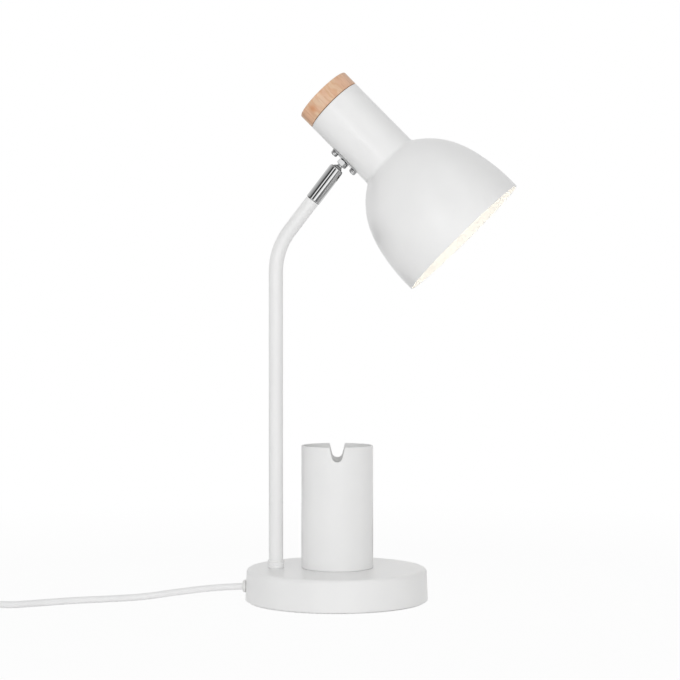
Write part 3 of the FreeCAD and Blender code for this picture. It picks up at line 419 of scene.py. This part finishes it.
# ---------------------------------------------------------------- shade
# Neck and bell are spun from one sheet of steel, a millimetre thick, and coated white inside and
# outside. A flat wall closes the neck, and the bracket is screwed to the neck's lower side.

dress(coat, "shade")

# ---------------------------------------------------------------- wooden cap
# A disc of steamed beech, turned with the grain along the neck and lacquered. A threaded brass
# insert in its recess screws on the nipple.


def near(tree, place, spot, inner, outer):
    """One within inner of a spot, fading to nothing at outer."""
    apart = reckon_vectors(tree, "DISTANCE", place, spot)
    return spread(tree, apart.outputs["Value"], 1, 0, (inner, outer))


ring_spacing, pith_offset = 0.0042, (0.052, 0.021, 0.02)
ring_wander, wander_scale = (0.013, 0.013, 0.004), 60
# (place in the head's frame, full inside, gone outside, colour) of four broader patches, of wood tone and
# painted light
# painted light: the first two lighter patches lie near the edges of the cap's front, towards the ball and
# away from it, and brighten the wood where the lamps' light falls off
tone_and_painted_light_patches = [
    ((0.0210, -0.013, -0.006), 0.002, 0.009, (0.86, 0.53, 0.34)),
    ((-0.0190, -0.016, -0.006), 0.002, 0.010, (0.86, 0.545, 0.37)),
    ((0.0070, -0.024, -0.006), 0.001, 0.007, (0.80, 0.58, 0.41)),
    ((0.0155, -0.0196, -0.007), 0.001, 0.005, (0.68, 0.31, 0.15))]


def beech(frame_of_head):
    """Growth rings round a pith beside the cap, fine fibres along the neck and short dark rays."""
    material, tree, shader, place = new_finish("lacquered_beech")
    place = in_frame(tree, place, frame_of_head)

    wander = tree.nodes.new("ShaderNodeTexNoise")
    wander.inputs["Scale"].default_value = wander_scale
    wander.inputs["Detail"].default_value = 4
    tree.links.new(place, wander.inputs["Vector"])
    warped = reckon_vectors(tree, "MULTIPLY_ADD", wander.outputs["Color"], ring_wander, place)
    from_pith = reckon_vectors(tree, "ADD", warped.outputs["Vector"], pith_offset)
    radius = length_of(tree, from_pith.outputs["Vector"], (1, 1, 0.25))
    turns = reckon(tree, "MULTIPLY", radius, 2 * math.pi / ring_spacing)
    rings = spread(tree, reckon(tree, "SINE", turns), 0, 0.85, (-0.4, 1))

    fibres = noise(tree, place, 1500, 3, (1, 1, 0.035))
    patches = noise(tree, place, 130, 3, (1, 1, 0.4))
    streaks = spread(tree, noise(tree, place, 420, 2, (1, 1, 0.10)), 0, 0.6, (0.56, 0.70))
    rays = spread(tree, noise(tree, place, 900, 1, (1, 1, 0.16)), 0, 0.35, (0.60, 0.72))
    patched = spread(tree, patches, 0, 1, (0.40, 0.60))
    early = blend_colours(tree, patched, (0.77, 0.475, 0.32), (0.80, 0.56, 0.375))
    late = blend_colours(tree, spread(tree, patches, 0, 1), (0.70, 0.39, 0.23), (0.74, 0.46, 0.28))
    colour = blend_colours(tree, rings, early, late)
    # patches of wood tone, and two lighter ones that are painted light at the cap's edges
    for spot, inner, outer, tint in tone_and_painted_light_patches:
        colour = blend_colours(tree, near(tree, place, spot, inner, outer), colour, tint)
    colour = blend_colours(tree, streaks, colour, (0.66, 0.35, 0.21))
    colour = blend_colours(tree, spread(tree, fibres, 0, 0.25), colour, (0.58, 0.33, 0.20))
    colour = blend_colours(tree, rays, colour, (0.50, 0.25, 0.12))
    tree.links.new(colour, shader.inputs["Base Color"])
    tree.links.new(spread(tree, fibres, 0.34, 0.48), shader.inputs["Roughness"])
    shader.inputs["Coat Weight"].default_value = 0.15
    shader.inputs["Coat Roughness"].default_value = 0.25
    relief(tree, shader, fibres, 0.00005)
    return material


cap_height = 0.0129
head = Matrix((across, beside, head_axis)).transposed().to_4x4()
head.translation = middle("wood_cap") + head_axis * cap_height / 2
dress(beech(head), "wood_cap")
dress(brass, "cap_insert")
dress(zinc, "holder_nipple", "nipple_nuts")

# ---------------------------------------------------------------- lampholder
# A black moulded holder for a screw-cap lamp, held by the nipple through the shade's rear wall.
# Ribs on its outside give a grip when it is screwed on, and its thread ring and contact are brass.

black_plastic = moulded("black_plastic", (0.010, 0.010, 0.010), (0.020, 0.020, 0.021), 0.36)
dress(black_plastic, "lampholder")
dress(brass, "holder_thread", "holder_contact")

holder_radius, rib_count, rib_rise = 0.0188, 30, 0.0007
rib_from, rib_to, rib_slope, rib_half = 0.024, 0.054, 0.001, math.radians(2.4)
# (place along the holder, rise) and, across a rib, (side, rise); a rise below zero is in the wall
rib_levels = ((rib_from, -0.2), (rib_from + rib_slope, 1), (rib_to - rib_slope, 1), (rib_to, -0.2))
rib_section = ((-1, -0.3), (-0.6, 0.7), (0, 1), (0.6, 0.7), (1, -0.3))


def holder_rib(turn, level, end_rise):
    """Points across one rib at a level."""
    row = []
    for side, rise in rib_section:
        radius = holder_radius + rib_rise * min(rise, end_rise)
        angle = turn + side * rib_half
        row.append(head @ Vector((radius * math.cos(angle), radius * math.sin(angle), level)))
    return row


def holder_ribs():
    """Rounded ribs in a ring round the holder, a little apart from its ends."""
    made = bmesh.new()
    for number in range(rib_count):
        turn = 2 * math.pi * number / rib_count
        skin(made, [holder_rib(turn, level, end_rise) for level, end_rise in rib_levels], closed=False)
    return finished_mesh("holder_ribs", made)


show("holder_ribs", holder_ribs(), black_plastic, "head")

# ---------------------------------------------------------------- lamp
# An LED lamp, 45 mm across, screwed into the holder. It has a zinc-plated screw cap with a brass
# contact, a white plastic housing and an opal globe that shines warm white.


def opal():
    material, tree, shader, place = new_finish("opal_globe")
    clouds = noise(tree, place, 90, 2)
    colour = blend_colours(tree, spread(tree, clouds, 0, 1), (0.94, 0.92, 0.86), (0.96, 0.94, 0.89))
    tree.links.new(colour, shader.inputs["Base Color"])
    shader.inputs["Roughness"].default_value = 0.3
    glow = blend_colours(tree, spread(tree, clouds, 0, 1), (1.0, 0.90, 0.72), (1.0, 0.92, 0.76))
    tree.links.new(glow, shader.inputs["Emission Color"])
    shader.inputs["Emission Strength"].default_value = 4.2
    return material


lamp_white = moulded("lamp_housing_plastic", (0.80, 0.80, 0.78), (0.84, 0.84, 0.82), 0.25, 0.00001)
dress(brass, "bulb_contact")
dress(zinc, "bulb_cap")
dress(lamp_white, "bulb_housing")
dress(opal(), "bulb_globe")

# ---------------------------------------------------------------- cord
# A round two-core flex, 5.4 mm across, in smooth white sheathing. It runs from the bush over the
# table to the switch and on to a neat coil of its spare length, and ends in the plug.


def flex():
    material, tree, shader, place = new_finish("cord_sheath")
    clouds = noise(tree, place, 120, 3)
    colour = blend_colours(tree, spread(tree, clouds, 0, 1), (0.89, 0.89, 0.89), (0.92, 0.92, 0.92))
    tree.links.new(colour, shader.inputs["Base Color"])
    tree.links.new(spread(tree, clouds, 0.38, 0.50), shader.inputs["Roughness"])
    relief(tree, shader, noise(tree, place, 500, 2), 0.00003)
    return material


cord_radius, cord_length = 0.0027, 1.8
exit_height, switch_middle, plug_middle = 0.0114, 0.0075, 0.0068
cord_route = [
    (-0.068, 0, exit_height), (-0.084, 0, 0.0110), (-0.106, 0.0006, 0.0094), (-0.132, 0.0004, 0.0062),
    (-0.158, -0.002, cord_radius), (-0.184, -0.012, cord_radius), (-0.212, -0.020, cord_radius),
    (-0.238, -0.034, cord_radius), (-0.262, -0.049, 0.0032), (-0.283, -0.060, switch_middle),
    (-0.300, -0.060, switch_middle)]
coil_lead = [
    (-0.344, -0.060, switch_middle), (-0.360, -0.060, switch_middle), (-0.377, -0.0625, 0.0054)]
plug_lead = [
    (-0.4219, 0.0021, 0.0089), (-0.411, 0.0145, 0.0094), (-0.396, 0.026, 0.0082),
    (-0.3745, 0.03396, plug_middle), (-0.35605, 0.03655, plug_middle)]

coil_at = Vector((-0.392, -0.0245, 0))
# heights of the two layers, points in each turn, and how early a step to the next layer is done
coil_layers, coil_steps, layer_climb = (0.0035, 0.0082), 16, 1.5
# (turns wound so far, radius, layer) where the strand settles in its next place
coil_places = [
    (0.00, 0.0405, 0), (0.80, 0.0405, 0), (0.97, 0.0351, 0), (1.80, 0.0351, 0), (1.97, 0.0297, 0),
    (2.80, 0.0297, 0), (2.97, 0.0243, 0), (3.58, 0.0243, 0), (3.76, 0.0270, 1), (4.36, 0.0270, 1),
    (4.54, 0.0324, 1), (5.14, 0.0324, 1), (5.32, 0.0378, 1), (6.36, 0.0378, 1)]


def coil_turns():
    """Points of the turns, wound clockwise from the side that the cord arrives on.

    The smooth line passes inside its points, so they stand further out than the turns.
    """
    points = []
    corner = 0.75 + 0.25 * math.cos(2 * math.pi / coil_steps)
    last = coil_places[-1][0]
    for step in range(1, math.ceil(last * coil_steps)):
        wound = step / coil_steps
        start, end = next(pair for pair in zip(coil_places, coil_places[1:]) if wound <= pair[1][0])
        share = (wound - start[0]) / (end[0] - start[0])
        radius = (start[1] + (end[1] - start[1]) * share) / corner
        low, high = coil_layers[start[2]], coil_layers[end[2]]
        height = low + (high - low) * min(1, share * layer_climb)
        turn = -math.pi / 2 - 2 * math.pi * wound
        points.append((coil_at.x + radius * math.cos(turn), coil_at.y + radius * math.sin(turn), height))
    return points


def spline(name, points, radius):
    """One smooth curve with these control points."""
    curve = bpy.data.curves.new(name, "CURVE")
    curve.dimensions = "3D"
    curve.resolution_u = 12
    curve.bevel_depth = radius
    curve.bevel_resolution = 6
    curve.use_fill_caps = True
    run = curve.splines.new("NURBS")
    run.points.add(len(points) - 1)
    for control, place in zip(run.points, points):
        control.co = (*place, 1)
    run.order_u = 3
    run.use_endpoint_u = True
    piece = bpy.data.objects.new(name, curve)
    bpy.context.scene.collection.objects.link(piece)
    return piece


cord_points = cord_route + coil_lead + coil_turns() + plug_lead
cord = spline("mains_cord", cord_points, cord_radius)
cord.data.materials.append(flex())
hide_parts("power_cord", "cord_coil", "plug_lead")
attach(cord, "base")

# ---------------------------------------------------------------- cord switch
# Two moulded shells clamp the cord. A rocker tips on a pin between them, and three ribs on one
# end of it tell a finger which way it is switched.

dress(white_plastic, "switch_lower", "switch_upper", "switch_rocker")

rocker_at, _ = joint("switch_rock")
rocker_tilt = math.radians(7)
rocker_frame = Matrix.Translation(rocker_at) @ Matrix.Rotation(rocker_tilt, 4, "Y")
rocker_dip, rocker_slope = 0.0036, 0.0008 / 0.0075
grip_from, grip_spacing, grip_count = 0.0030, 0.0014, 3
grip_length, grip_radius, grip_sunk, grip_steps = 0.0066, 0.00045, 0.0001, 8
grip_squareness, grip_least = 6, 0.02


def grip_rib(along):
    """Rings of a half-round rib across the rocker, narrowing to nothing at both ends."""
    rings = []
    surface = rocker_dip + along * rocker_slope - grip_sunk
    for step in range(grip_steps + 1):
        side = 2 * step / grip_steps - 1
        fade = math.sqrt(max(grip_least, 1 - abs(side) ** grip_squareness))
        rings.append([rocker_frame @ Vector((along + x, side * grip_length / 2, surface + z * fade))
                      for x, z in arc(0, 0, grip_radius, 0, 180)])
    return rings


for number in range(grip_count):
    rib = ring_mesh("rocker_rib", grip_rib(grip_from + number * grip_spacing), caps=True)
    show(f"rocker_rib_{number + 1}", rib, white_plastic, "rocker")

# ---------------------------------------------------------------- plug
# A flat two-pin plug moulded on the cord, with grooves for a grip in both sides, plated pins and a
# ribbed strain relief that tapers down to the cord.

dress(zinc, "plug_pins")

plug_at, plug_turn = Vector((-0.360, 0.036, plug_middle)), math.radians(8)
plug_frame = Matrix.Translation(plug_at) @ Matrix.Rotation(plug_turn, 4, "Z")
plug_half_width, plug_half_height, plug_squareness = 0.0130, 0.0068, 4.5
# (distance from the cord's end, half width, half height) of the body's sections at its two ends
neck_sections = [
    (0.0, 0.0046, 0.0048), (0.0008, 0.0052, 0.0055), (0.004, 0.0082, 0.0064), (0.008, 0.0122, 0.0067),
    (0.012, 0.0129, plug_half_height)]
face_sections = [
    (0.0325, plug_half_width, plug_half_height), (0.0336, 0.0126, 0.0064), (0.034, 0.0118, 0.0056)]
groove_from, groove_spacing, groove_count, groove_depth = 0.0135, 0.0028, 5, 0.0007
# (share of the spacing, share of the depth) across a groove
groove_section = ((0, 0), (0.25, 1), (0.55, 1), (0.8, 0))
relief_length, relief_ridges, relief_steps = 0.026, 6, 24
relief_root, relief_taper, relief_groove = 0.0046, 0.0016, 0.0007


def plug_ring(along, half_width, half_height, steps=48):
    """A rounded rectangle across the plug."""
    ring = []
    for i in range(steps):
        turn = 2 * math.pi * i / steps
        y, z = math.cos(turn), math.sin(turn)
        reach = (abs(y) ** plug_squareness + abs(z) ** plug_squareness) ** (-1 / plug_squareness)
        ring.append(plug_frame @ Vector((along, half_width * reach * y, half_height * reach * z)))
    return ring


def plug_rings():
    """The body's sections from the cord to the face, with shallow grooves in its sides for a grip."""
    sections = list(neck_sections)
    for number in range(groove_count):
        start = groove_from + number * groove_spacing
        for step, sunk in groove_section:
            half_width = plug_half_width - sunk * groove_depth
            sections.append((start + step * groove_spacing, half_width, plug_half_height))
    return [plug_ring(*section) for section in sections + face_sections]


def cord_line():
    """Points of the cord's own smooth line, from the base to the plug."""
    plain = cord.copy()
    plain.data = cord.data.copy()
    plain.data.bevel_depth = 0
    mesh = bpy.data.meshes.new_from_object(plain)
    points = [vertex.co.copy() for vertex in mesh.vertices]
    bpy.data.objects.remove(plain)
    return points


def relief_rings():
    """Rings along the cord's last stretch, wider at each ridge and narrower towards the cord."""
    line = cord_line()[::-1]
    travelled, rings = 0.0, []
    for here, ahead in zip(line, line[1:]):
        if travelled > relief_length:
            break
        share = travelled / relief_length
        groove = 0.5 + 0.5 * math.cos(2 * math.pi * relief_ridges * share)
        radius = relief_root - relief_taper * share - relief_groove * groove * (1 - share)
        turn = (ahead - here).to_track_quat("Z", "Y").to_matrix()
        rings.append([here + turn @ Vector((radius * math.cos(a), radius * math.sin(a), 0))
                      for a in (2 * math.pi * i / relief_steps for i in range(relief_steps))])
        travelled += (ahead - here).length
    return rings


plug_mesh = ring_mesh("plug_moulding", plug_rings(), caps=True)
plug = show("plug_moulding", plug_mesh, white_plastic, "base", sharp=30)
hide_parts("plug_body")
relief_mesh = ring_mesh("plug_strain_relief", relief_rings(), caps=True)
plug_relief = show("plug_strain_relief", relief_mesh, white_plastic, "base", sharp=60)

# ---------------------------------------------------------------- coil tie
# A black hook-and-loop strap, 7 mm wide, goes once round the spare turns at one side of the coil.
# Its end lies over its own start on top, where a finger finds it.


def strap_cloth():
    material, tree, shader, place = new_finish("strap_cloth")
    loops = noise(tree, place, 2400, 3)
    colour = blend_colours(tree, spread(tree, loops, 0, 1), (0.010, 0.010, 0.011), (0.035, 0.035, 0.037))
    tree.links.new(colour, shader.inputs["Base Color"])
    shader.inputs["Roughness"].default_value = 0.95
    shader.inputs["Sheen Weight"].default_value = 0.3
    relief(tree, shader, loops, 0.0003)
    return material


tie_turn = math.radians(205)
tie_frame = Matrix.Translation(coil_at) @ Matrix.Rotation(tie_turn, 4, "Z")
tie_middle, tie_half, tie_top, tie_corner = 0.0324, 0.0116, 0.0117, 0.003
tie_width, tie_wall = 0.0070, 0.0008
# the strap starts a little below its top line, climbs at the step and ends one strap higher
tie_start, tie_sunk, tie_step, tie_end = -0.006, 0.0003, 0.002, -0.003


def strap_path():
    """The strap's outer line round the turns, starting on top and ending over its own start."""
    near_side, far_side = tie_middle - tie_half + tie_corner, tie_middle + tie_half - tie_corner
    upper = tie_top - tie_corner
    path = [(tie_middle + tie_start, tie_top - tie_sunk)]
    path += arc(near_side, upper, tie_corner, 90, 180)
    path += arc(near_side, tie_corner, tie_corner, 180, 270)
    path += arc(far_side, tie_corner, tie_corner, -90, 0)
    path += arc(far_side, upper, tie_corner, 0, 90)
    return path + [(tie_middle + tie_step, tie_top), (tie_middle + tie_end, tie_top + tie_wall)]


def strap_rings():
    """Four corners of the strap's section at each point of its path."""
    path, rings = strap_path(), []
    for index, (x, z) in enumerate(path):
        before, after = path[max(0, index - 1)], path[min(len(path) - 1, index + 1)]
        along = Vector((after[0] - before[0], 0, after[1] - before[1])).normalized()
        inward = Vector((-along.z, 0, along.x)) * tie_wall
        outer = Vector((x, 0, z))
        inner = outer + inward
        side = Vector((0, tie_width / 2, 0))
        corners = (outer - side, outer + side, inner + side, inner - side)
        rings.append([tie_frame @ point for point in corners])
    return rings


tie_mesh = ring_mesh("tie_strap", strap_rings(), caps=True)
tie = show("tie_strap", tie_mesh, strap_cloth(), "base", sharp=50)
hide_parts("coil_tie")

# ---------------------------------------------------------------- studio
# A white table that melts into a white room, one broad soft lamp in front and a narrower one to
# the left of it. Reflections also show a ring of dark and bright screens round the room, four cards
# on the table and a small one held up in front of the lamp.

# the share of plain white in the table, near the lamp and far from it, and where it changes
floor_white, floor_melt = (0.94, 1.0), (0.35, 0.8)


def floor_finish():
    """Matt and shaded for the lamps' light, and nearly plain white to the eye and in reflections."""
    material = bpy.data.materials.new("floor_white")
    material.use_nodes = True
    tree = material.node_tree
    tree.nodes.clear()
    path = tree.nodes.new("ShaderNodeLightPath")
    seen = path.outputs["Is Camera Ray"]
    for ray in ("Is Glossy Ray", "Is Transmission Ray"):
        seen = reckon(tree, "MAXIMUM", seen, path.outputs[ray])
    place = tree.nodes.new("ShaderNodeTexCoord").outputs["Object"]
    away = reckon_vectors(tree, "LENGTH", place).outputs["Value"]
    lit = reckon(tree, "MULTIPLY", seen, spread(tree, away, *floor_white, floor_melt))
    matt = tree.nodes.new("ShaderNodeBsdfDiffuse")
    matt.inputs["Color"].default_value = (0.95, 0.95, 0.95, 1)
    white = tree.nodes.new("ShaderNodeEmission")
    mixed = tree.nodes.new("ShaderNodeMixShader")
    tree.links.new(lit, mixed.inputs["Fac"])
    tree.links.new(matt.outputs["BSDF"], mixed.inputs[1])
    tree.links.new(white.outputs["Emission"], mixed.inputs[2])
    out = tree.nodes.new("ShaderNodeOutputMaterial")
    tree.links.new(mixed.outputs["Shader"], out.inputs["Surface"])
    return material


def flat_sheet(name, width, depth, material):
    """A rectangle of the studio, lying flat."""
    mesh = bpy.data.meshes.new(name)
    x, y = width / 2, depth / 2
    mesh.from_pydata([(-x, -y, 0), (x, -y, 0), (x, y, 0), (-x, y, 0)], [], [(0, 1, 2, 3)])
    sheet = bpy.data.objects.new(name, mesh)
    sheet.data.materials.append(material)
    bpy.context.scene.collection.objects.link(sheet)
    return sheet


room_light, screen_light, backdrop_light = 0.61, 1.6, 1.0
# (degrees to the right of the camera's side, brightness) of the screens seen in reflections
screens = [
    (-180, 0.62), (-130, 0.58), (-100, 0.42), (-70, 0.34),
    (-60, 0.20), (-54, 0.05), (-31, 0.05), (-27, 1.0), (-19, 1.0), (-15, 0.01), (-3, 0.01), (1, 0.30),
    (12, 1.0), (30, 1.0), (45, 0.58), (90, 0.5), (125, 0.5), (180, 0.62)]


def room():
    """Even light on the object, screens for its reflections, and plain white behind it all."""
    world = bpy.data.worlds.new("room")
    world.use_nodes = True
    bpy.context.scene.world = world
    tree = world.node_tree
    tree.nodes.clear()
    path = tree.nodes.new("ShaderNodeLightPath")
    place = tree.nodes.new("ShaderNodeTexCoord").outputs["Generated"]
    apart = tree.nodes.new("ShaderNodeSeparateXYZ")
    tree.links.new(place, apart.inputs["Vector"])
    towards = reckon(tree, "MULTIPLY", apart.outputs["Y"], -1)
    side = reckon(tree, "ARCTAN2", apart.outputs["X"], towards)
    ramp = tree.nodes.new("ShaderNodeValToRGB")
    tree.links.new(spread(tree, side, 0, 1, (-math.pi, math.pi)), ramp.inputs["Fac"])
    stops = ramp.color_ramp.elements
    while len(stops) < len(screens):
        stops.new(0.5)
    for stop, (degrees, grey) in zip(stops, screens):
        stop.position = (degrees + 180) / 360
        stop.color = (grey, grey, grey, 1)

    lights = []
    for strength in (room_light, screen_light, backdrop_light):
        light = tree.nodes.new("ShaderNodeBackground")
        light.inputs["Color"].default_value = (1, 1, 1, 1)
        light.inputs["Strength"].default_value = strength
        lights.append(light)
    tree.links.new(ramp.outputs["Color"], lights[1].inputs["Color"])
    surface = lights[0].outputs["Background"]
    for ray, light in (("Is Glossy Ray", lights[1]), ("Is Camera Ray", lights[2])):
        mixed = tree.nodes.new("ShaderNodeMixShader")
        tree.links.new(path.outputs[ray], mixed.inputs["Fac"])
        tree.links.new(surface, mixed.inputs[1])
        tree.links.new(light.outputs["Background"], mixed.inputs[2])
        surface = mixed.outputs["Shader"]
    out = tree.nodes.new("ShaderNodeOutputWorld")
    tree.links.new(surface, out.inputs["Surface"])


lamp_aim = Vector((0, 0, 0.2))


def soft_lamp(name, place, size, power, mirrored):
    """A square soft lamp turned to the middle of the object, seen in its reflections or not."""
    light = bpy.data.lights.new(name, "AREA")
    light.shape = "SQUARE"
    light.size = size
    light.energy = power
    lamp = bpy.data.objects.new(name, light)
    lamp.location = place
    lamp.visible_glossy = mirrored
    lamp.rotation_euler = (lamp_aim - Vector(place)).to_track_quat("-Z", "Y").to_euler()
    bpy.context.scene.collection.objects.link(lamp)


def card(name, place, width, depth, brightness, turned_to=None):
    """A card seen only in reflections, flat on the table or turned to a point."""
    material, _, shader, _ = new_finish(name)
    shader.inputs["Base Color"].default_value = (0, 0, 0, 1)
    shader.inputs["Specular IOR Level"].default_value = 0
    shader.inputs["Emission Color"].default_value = (1, 1, 1, 1)
    shader.inputs["Emission Strength"].default_value = brightness
    sheet = flat_sheet(name, width, depth, material)
    sheet.location = place
    if turned_to:
        sheet.rotation_euler = (turned_to - Vector(place)).to_track_quat("Z", "Y").to_euler()
    sheet.visible_camera = False
    sheet.visible_diffuse = False
    sheet.visible_shadow = False


flat_sheet("floor", width=6.0, depth=6.0, material=floor_finish())
room()
on_table = 0.001
card("dark_card", (0.475, -0.585, on_table), width=0.45, depth=0.73, brightness=0.26)
card("bright_card", (0.475, -1.95, on_table), width=0.45, depth=1.9, brightness=1.6)
card("left_card", (-1.05, 0.95, on_table), width=1.1, depth=1.7, brightness=0.05)
card("rear_card", (0, 0.475, on_table), width=0.5, depth=0.45, brightness=0.10)
card("nut_card", (-0.278, -0.885, 0.725), width=0.10, depth=0.10, brightness=1.3,
     turned_to=middle("stud_nut"))
soft_lamp("front_lamp", (-0.1, -2.2, 0.45), size=1.2, power=14.5, mirrored=False)
soft_lamp("key_lamp", (-0.65, -1.6, 0.35), size=0.24, power=1.3, mirrored=True)

eye_place, eye_dip = (0.00272, -1.541, 0.2353), 0.015
eye = bpy.data.cameras.new("eye")
eye.sensor_width = 36
eye.lens = 100.16
camera = bpy.data.objects.new("eye", eye)
camera.location = eye_place
camera.rotation_euler = (math.pi / 2 - eye_dip, 0, 0)
bpy.context.scene.collection.objects.link(camera)
bpy.context.scene.camera = camera
bpy.context.scene.view_settings.view_transform = "Standard"

bpy.context.view_layer.update()
